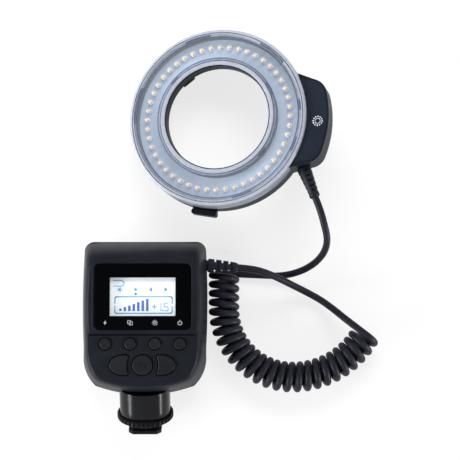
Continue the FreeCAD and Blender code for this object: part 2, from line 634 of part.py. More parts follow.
# The shoe hangs on an axis that leaves the chin and leans towards the back. In its own frame the
# axis is Z and the foot lies at the far end; Y looks to the front of the unit.
shoe = unit * Placement(
    Vector(0, -num("case_height")/2, num("shoe_level")),
    Rotation(Vector(1, 0, 0), 90 + num("shoe_tilt")),
)
WHEEL_NEAR = "(neck_length + wheel_gap)"
WHEEL_FAR = "(neck_length + wheel_gap + wheel_thick)"
WASHER_NEAR = "(%s + stack_gap)" % WHEEL_FAR
WASHER_FAR = "(%s + washer_thick)" % WASHER_NEAR
BLOCK_NEAR = "(%s + clamp_stroke + stack_gap)" % WASHER_FAR
FOOT_NEAR = "(%s + rail_gap)" % WASHER_FAR
FOOT_FAR = "(%s + foot_thick)" % FOOT_NEAR

# Neck: a block with rounded corners and a stem, whose root is cut to the chin it stands on.
neck = new_body("neck_form", shoe)
block = new_sketch(neck, "neck_block", level="-4")
soft_rectangle(block, "0", "0", "neck_width", "neck_thick", "neck_corner")
pad(neck, block, "neck_length + 4 - 1.2", "neck_pad")
taper = soft_rectangle(new_sketch(neck, "neck_taper", level="neck_length - 1.2"), "0", "0", "neck_width - 1.6",
                       "neck_thick - 1.6", "neck_corner - 0.8")
pad(neck, taper, "1.2", "neck_end")
stem = ring(new_sketch(neck, "stem", level="neck_length"), "0", "0", "stem_diameter/2")
pad(neck, stem, BLOCK_NEAR + " - neck_length", "stem_pad")
boss = new_sketch(neck, "foot_block", level=BLOCK_NEAR)
rectangle(boss, "0", "0", "foot_boss", "foot_boss")
pad(neck, boss, "%s - %s" % (FOOT_NEAR, BLOCK_NEAR), "foot_stand")
bore = ring(new_sketch(neck, "pin_room", level=FOOT_NEAR), "0", "0", "pin_diameter/2 + 0.9")
pocket(neck, bore, "4", "pin_bore")
neck_shape = neck.Shape.copy()
for half in (front_form, rear_form):
    solid = half.Shape.copy()
    solid.Placement = unit.multiply(solid.Placement)
    neck_shape = neck_shape.cut(solid)
largest = max(neck_shape.Solids, key=lambda piece: piece.Volume)
doc.removeObject(neck.Name)
feature_from("shoe_neck", largest)

# Lock wheel: a knurled disc that turns on the stem and drives the washer towards the foot.
wheel = new_body("lock_wheel", shoe)
revolve(wheel, "wheel_disc", ("stem_diameter/2 + stem_gap", WHEEL_NEAR), [
    ("wheel_diameter/2 - 0.8", WHEEL_NEAR),
    ("wheel_diameter/2", WHEEL_NEAR + " + 0.6"),
    ("wheel_diameter/2", WHEEL_FAR + " - 0.6"),
    ("wheel_diameter/2 - 0.8", WHEEL_FAR),
    ("stem_diameter/2 + stem_gap", WHEEL_FAR),
])
flute = loop(new_sketch(wheel, "flute", level=WHEEL_FAR), ("wheel_diameter/2 - flute_deep", "0"), [
    ("wheel_diameter/2 + 0.1", "-flute_deep"),
    ("wheel_diameter/2 + 0.1", "flute_deep"),
])
cut = pocket(wheel, flute, "wheel_thick", "flute_cut")
polar(wheel, [cut], "wheel_flutes", "flutes")

# Clamp washer: slides along the stem with the wheel.
washer = new_body("clamp_washer", shoe)
revolve(washer, "washer_disc", ("stem_diameter/2 + stem_gap", WASHER_NEAR), [
    ("washer_diameter/2", WASHER_NEAR),
    ("washer_diameter/2", WASHER_FAR + " - 0.4"),
    ("washer_diameter/2 - 0.4", WASHER_FAR),
    ("stem_diameter/2 + stem_gap", WASHER_FAR),
])

# Foot plate of the standard shoe, with two cut corners at the leading end and its contacts' holes.
foot = new_body("shoe_foot", shoe)
plate = new_sketch(foot, "foot_outline", level=FOOT_NEAR)
loop(plate, ("-foot_width/2", "-foot_width/2 + foot_chamfer"), [
    ("-foot_width/2 + foot_chamfer", "-foot_width/2"),
    ("foot_width/2 - foot_chamfer", "-foot_width/2"),
    ("foot_width/2", "-foot_width/2 + foot_chamfer"),
    ("foot_width/2", "foot_width/2 - foot_chamfer"),
    ("foot_width/2 - foot_chamfer", "foot_width/2"),
    ("-foot_width/2 + foot_chamfer", "foot_width/2"),
    ("-foot_width/2", "foot_width/2 - foot_chamfer"),
])
pad(foot, plate, "foot_thick", "foot_plate")
SMALL_PINS = [("-2.6", "3.6"), ("2.6", "3.6"), ("0", "-4.2")]
FOOT_SCREWS = [("-5.6", "-5.6"), ("5.6", "-5.6"), ("-5.6", "5.6"), ("5.6", "5.6")]
pin_hole = ring(new_sketch(foot, "pin_hole", level=FOOT_FAR), "0", "0", "pin_diameter/2 + 0.15")
pocket(foot, pin_hole, "foot_thick", "pin_opening")
seats = new_sketch(foot, "small_seats", level=FOOT_FAR)
for x, y in SMALL_PINS:
    ring(seats, x, y, "small_pin/2 + 0.1")
pocket(foot, seats, "0.8", "small_sockets")
heads = new_sketch(foot, "foot_screw_seats", level=FOOT_FAR)
for x, y in FOOT_SCREWS:
    ring(heads, x, y, "1.15")
pocket(foot, heads, "1.0", "foot_screw_recesses")

# Centre contact: a sprung pin with a rounded end and a collar that keeps it in.
contact = new_body("centre_contact", shoe)
revolve(contact, "contact_pin", ("0", FOOT_NEAR + " - 1.3"), [
    ("pin_diameter/2 + 0.6", FOOT_NEAR + " - 1.3"),
    ("pin_diameter/2 + 0.6", FOOT_NEAR + " - 0.3"),
    ("pin_diameter/2", FOOT_NEAR + " - 0.3"),
    ("pin_diameter/2", FOOT_FAR + " + pin_proud - 0.4"),
    ("pin_diameter/2 - 0.5", FOOT_FAR + " + pin_proud"),
    ("0", FOOT_FAR + " + pin_proud"),
])
pads_of_foot = []
for x, y in SMALL_PINS:
    at = Vector(num(x), num(y), num(FOOT_FAR) - 0.8)
    pads_of_foot.append(Part.makeCylinder(num("small_pin")/2, 0.9, at))
feature_from("small_contacts", Part.makeCompound(pads_of_foot), shoe)
studs = []
for x, y in FOOT_SCREWS:
    at = Vector(num(x), num(y), num(FOOT_FAR) - 1.0)
    studs.append(Part.makeCylinder(1.05, 0.8, at))
feature_from("foot_screws", Part.makeCompound(studs), shoe)


def boot(label, place, length, collar, wall, stand, ribs):
    """A ribbed, tapering strain relief: its axis is Z and it starts at the wall's outer face."""
    body = new_body(label, place)
    steps = [(collar, "-(%s) - 1.0" % wall), (collar, "-(%s) - 0.2" % wall),
             ("boot_root - boot_neck", "-(%s) - 0.2" % wall),
             ("boot_root - boot_neck", stand), ("boot_root", stand)]
    for i in range(ribs):
        near = "(%d/%d)" % (i + 1, ribs)
        width = "(boot_root - (boot_root - boot_tip)*%s)" % near
        level = "(%s*%s)" % (length, near)
        if i < ribs - 1:
            steps += [(width, level + " - 1.5"), (width + " - 0.8", level + " - 0.9"),
                      (width, level + " - 0.3")]
    steps += [("boot_tip", length + " - 0.5"), ("boot_tip - 0.5", length), ("0", length)]
    revolve(body, label + "_form", ("0", "-(%s) - 1.0" % wall), steps)
    return body


# The control unit's boot leaves its right flank at the seam; both halves have half its hole.
case_exit = unit * Placement(
    Vector(num("case_width")/2 - 0.1, num("case_boot_up"), num("seam_level")),
    Rotation(Vector(0, 0, 1), num("case_boot_turn")) * Rotation(Vector(0, 1, 0), 90),
)
boot("controller_boot", case_exit, "case_boot", "boot_root + 0.9", "case_wall + 1.5", "0.4", 4)
for half, name in ((front, "front"), (rear, "rear")):
    sketch = new_sketch(half, name + "_boot_hole", "YZ_Plane", "case_width/2 - 2*case_wall - 0.5")
    ring(sketch, "case_boot_up", "seam_level", "boot_root - boot_neck + 0.35")
    pocket(half, sketch, "5*case_wall", name + "_boot_way", upward=True)

# The ring head leans: its frame has the middle of its back at the origin and Z to its front.
head = Placement(
    Vector(num("ring_x"), num("ring_y"), 0),
    Rotation(Vector(0, 1, 0), num("ring_lean")) * Rotation(Vector(1, 0, 0), num("ring_pitch"))
    * Rotation(Vector(0, 0, 1), num("ring_turn")),
)
lean = head.Rotation.multVec(UP)
head.Base.z = num("ring_radius")*math.hypot(lean.x, lean.y) + 0.05


def box_outline(sketch, inset, inner):
    """The junction box: two leaning flanks and a wide outer arc, closed by an arc round the ring."""
    root = "(box_angle - 1.5*(%s) - 1.3*(%s - ring_radius))" % (inset, inner)
    root_x, root_y = "((%s)*cos(%s))" % (inner, root), "((%s)*sin(%s))" % (inner, root)
    side_x, side_y = "(box_side_x - 0.8*(%s))" % inset, "(box_side_y - (%s))" % inset
    bend_x, bend_y = "(box_bend_x - 0.9*(%s))" % inset, "(box_bend_y - 0.8*(%s))" % inset
    arc_x, arc_y = "(box_knee_x - (%s))" % inset, "(box_knee_y - 0.6*(%s))" % inset
    return loop(sketch, (root_x, "-" + root_y), [
        (side_x, "-" + side_y),
        (bend_x, "-" + bend_y, arc_x, "-" + arc_y),
        ("box_radius - (%s)" % inset, "0", arc_x, arc_y),
        (bend_x, bend_y, side_x, side_y),
        (root_x, root_y),
    ], close=(inner, "0"))


# Ring housing: outer wall, floor, recess for the adapter ring, lip round the opening and two
# ledges for the lamp board, all one revolved profile, with the base of the junction box.
housing = new_body("ring_housing", head)
revolve(housing, "tub", ("ring_radius", "0.6"), [
    ("ring_radius", "shell_top"),
    ("ring_radius - cover_wall - fit_gap", "shell_top"),
    ("ring_radius - cover_wall - fit_gap", "board_level"),
    ("board_outer - 0.8", "board_level"),
    ("board_outer - 0.8", "floor_level + shell_wall"),
    ("seat_radius + shell_wall", "floor_level + shell_wall"),
    ("seat_radius + shell_wall", "board_level"),
    ("board_inner - 0.4", "board_level"),
    ("board_inner - 0.4", "seat_depth + 1.4"),
    ("bore_radius + bore_lip", "seat_depth + 1.4"),
    ("bore_radius + bore_lip", "lip_top"),
    ("bore_radius", "lip_top"),
    ("bore_radius", "seat_depth"),
    ("seat_radius", "seat_depth"),
    ("seat_radius", "0"),
    ("seat_radius + shell_wall - 0.2", "0"),
    ("seat_radius + shell_wall - 0.2", "floor_level"),
    ("ring_radius - shell_wall", "floor_level"),
    ("ring_radius - shell_wall", "0"),
    ("ring_radius - 0.6", "0"),
])
base = box_outline(new_sketch(housing, "box_base", level="box_low"), "0", "ring_radius - 0.8")
pad(housing, base, "shell_top - box_low", "box_shell")
room = box_outline(new_sketch(housing, "box_room", level="shell_top"), "box_wall", "ring_radius")
pocket(housing, room, "shell_top - box_low - box_wall", "box_inside")


def slot_outline(sketch, angle, near, far, width):
    """A straight slot along a direction in the ring, between two distances from the middle."""
    ends = [(far, "-(%s)/2"), (far, "(%s)/2"), (near, "(%s)/2"), (near, "-(%s)/2")]
    corners = []
    for along, aside in ends:
        aside = aside % width
        corners.append(("(%s)*cos(%s) - (%s)*sin(%s)" % (along, angle, aside, angle),
                        "(%s)*sin(%s) + (%s)*cos(%s)" % (along, angle, aside, angle)))
    return loop(sketch, corners[0], corners[1:])


# Ways through the walls for the tab and the two claws.
SLOT_LOW = "(slide_low - 0.2)"
SLOT_HIGH = "(floor_level - 0.02 - slide_low + 0.2)"
tab_way = slot_outline(new_sketch(housing, "tab_slot", level=SLOT_LOW), "tab_angle",
                       "ring_radius - shell_wall - 1", "ring_radius + 1", "tab_width + 0.8")
pocket(housing, tab_way, SLOT_HIGH, "tab_way", upward=True)
for i, hand in enumerate(("-", "+")):
    direction = "tab_angle + 180 %s claw_angle" % hand
    way = slot_outline(new_sketch(housing, "claw_slot_%d" % i, level=SLOT_LOW), direction,
                       "seat_radius - 1.5", "seat_radius + shell_wall + 1", "claw_width + 2*slide_stroke + 0.8")
    pocket(housing, way, SLOT_HIGH, "claw_way_%d" % i, upward=True)


def boot_way(body, name):
    """The hole for the ring's cord boot, square to the boot's own direction."""
    sketch = new_sketch(body, name + "_hole", "YZ_Plane")
    sketch.AttachmentOffset = Placement(Vector(), Rotation(Vector(0, 1, 0), num("ring_boot_turn")))
    sketch.setExpression("AttachmentOffset.Rotation.Angle", linked("ring_boot_turn"))
    sketch.setExpression("AttachmentOffset.Base.x", linked("ring_boot_y + 2*box_wall*sin(ring_boot_turn)"))
    sketch.setExpression("AttachmentOffset.Base.z", linked("ring_boot_x + 2*box_wall*cos(ring_boot_turn)"))
    ring(sketch, "0", "ring_boot_level", "boot_root - boot_neck + fit_gap")
    doc.recompute()
    return pocket(body, sketch, "4*box_wall", name)


boot_way(housing, "housing_boot_way")

# Release slide: a flat ring with the tab on one side and two claws opposite.
SLIDE_INNER = "(seat_radius + shell_wall + slide_clear)"
SLIDE_OUTER = "(%s + slide_band)" % SLIDE_INNER
slide = new_body("release_slide", head)
flat = new_sketch(slide, "slide_ring", level="slide_low")
ring(flat, "0", "0", SLIDE_OUTER)
ring(flat, "0", "0", SLIDE_INNER)
pad(slide, flat, "slide_thick", "slide_plate")
arm = slot_outline(new_sketch(slide, "tab_arm", level="slide_low"), "tab_angle", SLIDE_INNER + " + 1",
                   "ring_radius + tab_reach", "tab_width")
pad(slide, arm, "slide_thick", "tab_plate")
thumb = slot_outline(new_sketch(slide, "tab_thumb", level="slide_low - 0.8"), "tab_angle",
                     "ring_radius + slide_stroke + 0.4", "ring_radius + tab_reach", "tab_width")
pad(slide, thumb, "slide_thick + 2.6", "tab_lip")
for i, hand in enumerate(("-", "+")):
    direction = "tab_angle + 180 %s claw_angle" % hand
    claw = slot_outline(new_sketch(slide, "claw_%d" % i, level="slide_low"), direction,
                        "bore_radius - claw_bite", SLIDE_INNER + " + 1", "claw_width")
    pad(slide, claw, "slide_thick", "claw_arm_%d" % i)

# Two release springs between the slide and the wall opposite the tab.
springs = []
for side in (-1, 1):
    aside = side*num("spring_aside")
    near = math.sqrt(num(SLIDE_OUTER)**2 - (abs(aside) - num("spring_radius"))**2) + 0.05
    far = math.sqrt(num("ring_radius - shell_wall")**2 - (abs(aside) + num("spring_radius"))**2) - 0.05
    tube = Part.makeCylinder(num("spring_radius"), far - near, Vector(-far, aside, num("slide_low + slide_thick/2")),
                             Vector(1, 0, 0))
    tube = tube.cut(Part.makeCylinder(num("spring_radius") - 0.5, far - near,
                                      Vector(-far, aside, num("slide_low + slide_thick/2")), Vector(1, 0, 0)))
    springs.append(tube)
along_tab = Placement(Vector(), Rotation(Vector(0, 0, 1), num("tab_angle")))
feature_from("release_springs", Part.makeCompound(springs), head * along_tab)

# Rear plate: closes the slide's space, held by four screws from behind.
rear_plate = new_body("rear_plate", head)
disc = new_sketch(rear_plate, "plate_outline")
ring(disc, "0", "0", "ring_radius - shell_wall - fit_gap")
ring(disc, "0", "0", "seat_radius + shell_wall")
pad(rear_plate, disc, "plate_thick", "plate_disc")
SCREW_OUT = "(%s + plate_clear + plate_screw/2)" % SLIDE_OUTER
sinks = new_sketch(rear_plate, "plate_sinks")
studs = []
for turn in (-95, -40, 40, 95):
    x = "%s*cos(tab_angle + %d)" % (SCREW_OUT, turn)
    y = "%s*sin(tab_angle + %d)" % (SCREW_OUT, turn)
    ring(sinks, x, y, "plate_screw/2 + 0.1")
    at = Vector(num(x), num(y), 0.3)
    studs.append(Part.makeCylinder(num("plate_screw")/2, num("floor_level") - 0.3, at))
pocket(rear_plate, sinks, "plate_thick", "plate_holes", upward=True)
feature_from("rear_plate_screws", Part.makeCompound(studs), head)

# Lamp board and its white lamps.
lamp_board = new_body("led_board", head)
annulus = new_sketch(lamp_board, "annulus", level="board_level")
ring(annulus, "0", "0", "board_outer")
ring(annulus, "0", "0", "board_inner")
pad(lamp_board, annulus, "board_thick", "annulus_sheet")


def lamp_form():
    """One lamp: a six-sided barrel whose dome is a bevel round the top."""
    corners = []
    for k in range(7):
        angle = math.pi*k/3
        corners.append(Vector(num("lamp_radius")*math.cos(angle), num("lamp_radius")*math.sin(angle), 0))
    barrel = Part.Face(Part.makePolygon(corners)).extrude(UP*num("lamp_height"))
    rim = [edge for edge in barrel.Edges if min(v.Z for v in edge.Vertexes) > num("lamp_height") - 0.01]
    return barrel.makeChamfer(num("lamp_height")*0.3, rim)


lamps = []
board_face = num("board_level + board_thick")
for i in range(int(num("lamp_count"))):
    lamp = lamp_form()
    lamp.Placement = (
        Placement(Vector(), Rotation(UP, 360.0*(i + 0.5)/num("lamp_count")))
        * Placement(Vector(num("lamp_circle"), 0, board_face), Rotation())
    )
    lamps.append(lamp)
feature_from("leds", Part.makeCompound(lamps), head)

# Clear front cover: two walls joined by a plate that lies a little under its rims.
cover = new_body("ring_front_cover", head)
PLATE_TOP = "(ring_depth - cover_dip)"
revolve(cover, "cover_form", ("ring_radius", "shell_top + 0.1"), [
    ("ring_radius", "ring_depth - 0.6"),
    ("ring_radius - 0.6", "ring_depth"),
    ("ring_radius - cover_wall - 0.2", "ring_depth"),
    ("ring_radius - cover_wall - 0.6", PLATE_TOP),
    ("bore_radius + rim_width + 0.4", PLATE_TOP),
    ("bore_radius + rim_width", "ring_depth"),
    ("bore_radius + 0.6", "ring_depth"),
    ("bore_radius + 0.6", "lip_top + 0.1"),
    ("bore_radius + bore_lip + fit_gap", "lip_top + 0.1"),
    ("bore_radius + bore_lip + fit_gap", "seat_depth + 1.5"),
    ("bore_radius + bore_lip + fit_gap + 1.5", "seat_depth + 1.5"),
    ("bore_radius + bore_lip + fit_gap + 1.5", PLATE_TOP + " - cover_plate"),
    ("ring_radius - cover_wall", PLATE_TOP + " - cover_plate"),
    ("ring_radius - cover_wall", "shell_top + 0.1"),
])

# Junction box cover with a small board under it.
box_cover = new_body("box_cover", head)
lid = box_outline(new_sketch(box_cover, "lid", level="shell_top"), "0", "ring_radius + 0.3")
pad(box_cover, lid, "box_top - shell_top", "lid_block")
under = box_outline(new_sketch(box_cover, "lid_room", level="shell_top"), "box_wall", "ring_radius")
pocket(box_cover, under, "box_top - shell_top - box_wall", "lid_inside", upward=True)
boot_way(box_cover, "lid_boot_way")
small_board = new_body("box_board", head)
laminate = new_sketch(small_board, "small_board", level="box_low + box_wall + 3.2")
rectangle(laminate, "57.2", "1.5", "7.4", "26")
pad(small_board, laminate, "board_thick", "small_sheet")
ring_exit = head * Placement(
    Vector(num("ring_boot_x"), num("ring_boot_y"), num("ring_boot_level")),
    Rotation(UP, num("ring_boot_turn")) * Rotation(Vector(0, 1, 0), 90),
)
boot("ring_boot", ring_exit, "ring_boot", "boot_root - 0.3", "box_wall + 0.35", "1.0", 5)

# The curly cord. Its middle line is a straight, a bend and a wider bend, level with the table,
# and the curls run round it left-handed, from the underside of one end to the top of the other.
COIL_ONE = math.radians(num("sweep_one"))
COIL_TWO = math.radians(num("sweep_two"))
COIL_LONG = num("coil_straight") + num("bend_one")*COIL_ONE + num("bend_two")*COIL_TWO
HALF_TURNS = int(num("curl_halves"))


def middle_line(along):
    """Point, direction and curvature of the coil's middle line at a length along it."""
    radius = num("bend_one")
    corner = Vector(num("coil_x"), num("coil_y") - num("coil_straight"), num("coil_lift"))
    if along <= num("coil_straight"):
        return corner + Vector(0, num("coil_straight") - along, 0), Vector(0, -1, 0), 0.0
    along -= num("coil_straight")
    centre = corner + Vector(radius, 0, 0)
    angle = math.pi + along/radius
    if along > radius*COIL_ONE:
        along -= radius*COIL_ONE
        turned = math.pi + COIL_ONE
        out = Vector(math.cos(turned), math.sin(turned), 0)
        centre = centre + out*(radius - num("bend_two"))
        radius = num("bend_two")
        angle = turned + along/radius
    out = Vector(math.cos(angle), math.sin(angle), 0)
    return centre + out*radius, UP.cross(out), 1/radius


def curl(half):
    """Point and direction of the cord after so many half turns."""
    middle, forward, bend = middle_line(COIL_LONG*half/HALF_TURNS)
    aside = UP.cross(forward)
    angle = -math.pi/2 - math.pi*half
    turn = -math.pi*HALF_TURNS/COIL_LONG
    radius = num("coil_radius")
    point = middle + (aside*math.cos(angle) + UP*math.sin(angle))*radius
    run = forward*(1 - bend*radius*math.cos(angle))
    run = run + (UP*math.cos(angle) - aside*math.sin(angle))*(radius*turn)
    return point, run.normalize()


def two_arcs(start, leave, end, arrive):
    """Two arcs that join two points and follow a direction at each."""
    chord = end - start
    both = leave + arrive
    apart = 2*(1 - leave.dot(arrive))
    reach = (-chord.dot(both) + math.sqrt(chord.dot(both)**2 + apart*chord.dot(chord)))/apart
    joint = (start + end + (leave - arrive)*reach)*0.5
    arcs = []
    for a, b, corner in ((start, joint, start + leave*reach), (joint, end, end - arrive*reach)):
        half_chord = (a + b)*0.5
        share = (b - a).Length*0.5/(corner - a).Length
        arcs.append(Part.Arc(a, (half_chord + corner*share)*(1/(1 + share)), b).toShape())
    return arcs


def swept(edges, sides):
    """The cord's section carried along joined edges; with no sides given it is round."""
    path = Part.Wire(edges)
    first = edges[0]
    start = first.Vertexes[0].Point
    forward = first.tangentAt(first.FirstParameter)
    radius = num("cord_diameter")/2
    if sides:
        across = forward.cross(UP).normalize()
        over = across.cross(forward).normalize()
        corners = []
        for k in range(sides + 1):
            angle = 2*math.pi*k/sides
            corners.append(start + (across*math.cos(angle) + over*math.sin(angle))*radius)
        section = Part.makePolygon(corners)
        area = sides/2*math.sin(2*math.pi/sides)*radius**2
    else:
        section = Part.Wire([Part.Circle(start, forward, radius).toShape()])
        area = math.pi*radius**2
    shape = path.makePipeShell([section], True, False)
    print("cord length %.1f, volume %.1f against %.1f" % (path.Length, shape.Volume, area*path.Length))
    return shape


CORD_SIDES = 6
ends = [curl(half) for half in range(HALF_TURNS + 1)]
coil_in = ends[0][0] - ends[0][1]*num("cord_diameter")
coil_out = ends[-1][0] + ends[-1][1]*num("cord_diameter")
edges = [Part.LineSegment(coil_in, ends[0][0]).toShape()]
for (start, leave), (end, arrive) in zip(ends, ends[1:]):
    edges += two_arcs(start, leave, end, arrive)
edges.append(Part.LineSegment(ends[-1][0], coil_out).toShape())
feature_from("cord_coil", swept(edges, CORD_SIDES))

# The curls' least distance from each other, measured on points of the cord's middle.
marks = [point for edge in edges for point in edge.discretize(9)[:-1]]
per_turn = int(2*math.pi*num("coil_radius")/(Part.Wire(edges).Length/len(marks)))
least = min(
    (marks[i] - marks[j]).Length
    for i in range(len(marks))
    for j in range(i + per_turn//2, min(i + 2*per_turn, len(marks)))
)
print("least gap between curls %.2f" % (least - num("cord_diameter")))


def rounded_route(points):
    """Straight runs joined by tangent arcs, each as large as its two runs allow."""
    edges = []
    before = points[0]
    radii = []
    for a, b, c in zip(points, points[1:], points[2:]):
        back, on = a - b, c - b
        turn = math.pi - back.getAngle(on)
        reach = 0.45*min(back.Length, on.Length)
        radii.append(reach/math.tan(turn/2))
        enter = b + back.normalize()*reach
        leave = b + on.normalize()*reach
        middle = b + (back + on).normalize()*(radii[-1]*(1/math.cos(turn/2) - 1))
        edges.append(Part.LineSegment(before, enter).toShape())
        edges.append(Part.Arc(enter, middle, leave).toShape())
        before = leave
    edges.append(Part.LineSegment(before, points[-1]).toShape())
    print("bend radii", [round(radius, 1) for radius in radii])
    return edges


# The two smooth leads: each starts square on its boot and ends square on the curls.
case_tip = case_exit.multVec(Vector(0, 0, num("case_boot")))
case_way = case_exit.Rotation.multVec(UP)
ring_tip = ring_exit.multVec(Vector(0, 0, num("ring_boot")))
ring_way = ring_exit.Rotation.multVec(UP)
coil_start, coil_enter = coil_in, ends[0][1]
coil_end, coil_leave = coil_out, ends[-1][1]
case_lead = [
    case_tip,
    case_tip + case_way*8.2,
    Vector(33.0, -24.3, 19.6),
    Vector(40.8, -27.4, 14.6),
    Vector(48.4, -30.9, 8.9),
    Vector(56.4, -34.6, 4.6),
    Vector(65.2, -39.4, 4.2),
    Vector(72.8, -45.4, 8.9),
    Vector(77.6, -49.8, 13.7),
    coil_end + coil_leave*6.6,
    coil_end,
]
ring_lead = [
    ring_tip,
    ring_tip + ring_way*8.5,
    Vector(66.0, 1.8, 35.4),
    Vector(68.0, -5.7, 31.2),
    Vector(67.0, -12.1, 24.6),
    Vector(62.7, -17.6, 17.2),
    Vector(56.4, -21.6, 10.6),
    Vector(48.8, -24.2, 5.8),
    Vector(40.6, -25.3, 3.0),
    Vector(32.0, -24.8, 2.0),
    coil_start - coil_enter*10,
    coil_start,
]
feature_from("cord_controller_lead", swept(rounded_route(case_lead), CORD_SIDES + 2))
feature_from("cord_ring_lead", swept(rounded_route(ring_lead), CORD_SIDES + 2))

# Every piece is checked before any is written.
doc.recompute()
for item in doc.Objects:
    if "Invalid" in item.State or "Error" in item.State:
        raise ValueError("%s: %s" % (item.Label, item.State))
kinds = ("PartDesign::Body", "Part::Feature")
pieces = [item for item in doc.Objects if item.TypeId in kinds and not item.InList]
for piece in pieces:
    if piece.Shape.isNull() or not piece.Shape.isValid():
        raise ValueError("%s has no sound solid" % piece.Label)
for piece in pieces:
    piece.Shape.exportStep("parts/%s.step" % piece.Label)
print("%d pieces" % len(pieces))
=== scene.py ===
# A macro ring light as it lies for its picture: the control unit on its back, the ring head
# leaning above it, and the curly cord that joins them. Metres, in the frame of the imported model.
import math

import bmesh
import bpy
from mathutils import Euler, Matrix, Vector
from mathutils.geometry import tessellate_polygon


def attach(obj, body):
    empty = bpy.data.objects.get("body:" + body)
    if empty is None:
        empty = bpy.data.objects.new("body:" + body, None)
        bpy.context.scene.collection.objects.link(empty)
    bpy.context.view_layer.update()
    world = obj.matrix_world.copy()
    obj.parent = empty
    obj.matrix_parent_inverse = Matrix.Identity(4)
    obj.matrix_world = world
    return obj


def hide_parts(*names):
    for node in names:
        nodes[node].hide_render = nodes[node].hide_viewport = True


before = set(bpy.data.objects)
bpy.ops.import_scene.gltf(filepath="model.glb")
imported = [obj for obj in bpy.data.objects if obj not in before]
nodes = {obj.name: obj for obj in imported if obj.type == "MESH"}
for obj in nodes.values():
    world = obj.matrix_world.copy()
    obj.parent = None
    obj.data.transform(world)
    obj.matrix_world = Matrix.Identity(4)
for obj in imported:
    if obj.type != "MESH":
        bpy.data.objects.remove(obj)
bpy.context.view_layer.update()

# Curly cord: one round cable in black rubber, wound hot into 25 curls and left straight at both
# ends, where it is moulded into its boots. It is drawn as one line, in millimetres from the
# ring's end to the control unit's.
MM = 0.001
CORD = 4.0*MM
COIL_LIFT = 9.0
COIL_START = Vector((8.9, -23.8, COIL_LIFT))
COIL_STRAIGHT = 20.5
COIL_BENDS = ((39.5, math.radians(90)), (48.3, math.radians(60)))
HALF_TURNS = 51
CURL_RADIUS = 6.8
POINTS_PER_TURN = 16
CASE_LEAD = [
    (17.13, -21.63, 22.0), (25.32, -22.26, 22.0), (33.0, -24.3, 19.6), (40.8, -27.4, 14.6),
    (48.4, -30.9, 8.9), (56.4, -34.6, 4.6), (65.2, -39.4, 4.2), (72.8, -45.4, 8.9),
    (77.6, -49.8, 13.7),
]
RING_LEAD = [
    (59.2, 22.0, 34.4), (60.95, 17.34, 35.3), (63.9, 9.5, 36.6), (66.0, 1.8, 35.4), (68.0, -5.7, 31.2),
    (67.0, -12.1, 24.6), (62.7, -17.6, 17.2), (56.4, -21.6, 10.6), (48.8, -24.2, 5.8),
    (40.6, -25.3, 3.0), (32.0, -24.8, 2.1),
]


def coil_middle(along):
    """Point and direction of the curls' middle line, in millimetres."""
    point, heading = COIL_START.copy(), -math.pi/2
    if along <= COIL_STRAIGHT:
        return point + Vector((0, -along, 0)), heading
    point.y -= COIL_STRAIGHT
    along -= COIL_STRAIGHT
    for radius, sweep in COIL_BENDS:
        turned = min(along/radius, sweep)
        centre = point + Vector((-math.sin(heading), math.cos(heading), 0))*radius
        heading += turned
        point = centre - Vector((-math.sin(heading), math.cos(heading), 0))*radius
        along -= turned*radius
        if along <= 1e-9:
            break
    return point, heading


def curl_points():
    """The helix round that line, left-handed, from its underside to its top."""
    long = COIL_STRAIGHT + sum(radius*sweep for radius, sweep in COIL_BENDS)
    count = HALF_TURNS*POINTS_PER_TURN//2
    reach = CURL_RADIUS/math.cos(math.pi/POINTS_PER_TURN)**2
    points = []
    for i in range(count + 1):
        middle, heading = coil_middle(long*i/count)
        aside = Vector((-math.sin(heading), math.cos(heading), 0))
        angle = -math.pi/2 - math.pi*HALF_TURNS*i/count
        points.append(middle + (aside*math.cos(angle) + Vector((0, 0, 1))*math.sin(angle))*reach)
    return points


def new_material(name):
    material = bpy.data.materials.new(name)
    material.use_nodes = True
    tree = material.node_tree
    return material, tree, tree.nodes["Principled BSDF"]


def noise(tree, scale, detail=3.0):
    """A noise field in the piece's own space, with so many grains to the metre."""
    place = tree.nodes.new("ShaderNodeTexCoord")
    field = tree.nodes.new("ShaderNodeTexNoise")
    field.inputs["Scale"].default_value = scale
    field.inputs["Detail"].default_value = detail
    tree.links.new(place.outputs["Object"], field.inputs["Vector"])
    return field.outputs["Fac"]


def ramp(tree, value, stops):
    """Maps a value to colours: stops are (place, colour)."""
    node = tree.nodes.new("ShaderNodeValToRGB")
    node.color_ramp.elements.remove(node.color_ramp.elements[1])
    for i, (place, colour) in enumerate(stops):
        stop = node.color_ramp.elements[0] if i == 0 else node.color_ramp.elements.new(place)
        stop.position = place
        stop.color = (*colour, 1)
    tree.links.new(value, node.inputs["Fac"])
    return node.outputs["Color"]


def spread(tree, value, low, high):
    """Maps a value from 0 to 1 onto a range."""
    node = tree.nodes.new("ShaderNodeMapRange")
    node.inputs["To Min"].default_value = low
    node.inputs["To Max"].default_value = high
    tree.links.new(value, node.inputs["Value"])
    return node.outputs["Result"]


def bump(tree, value, strength, depth):
    node = tree.nodes.new("ShaderNodeBump")
    node.inputs["Strength"].default_value = strength
    node.inputs["Distance"].default_value = depth
    tree.links.new(value, node.inputs["Height"])
    return node.outputs["Normal"]


def moulded(name, dark, light, rough, grain=2600, grain_depth=0.00003, sheen=0.1):
    """Moulded plastic or rubber: a fine grain, with faint cloudy changes of colour and sheen."""
    material, tree, shader = new_material(name)
    tree.links.new(ramp(tree, noise(tree, 45), [(0.35, dark), (0.7, light)]), shader.inputs["Base Color"])
    tree.links.new(spread(tree, noise(tree, 160), rough - 0.05, rough + 0.06), shader.inputs["Roughness"])
    tree.links.new(bump(tree, noise(tree, grain, 2), 0.35, grain_depth), shader.inputs["Normal"])
    shader.inputs["Specular IOR Level"].default_value = sheen
    return material


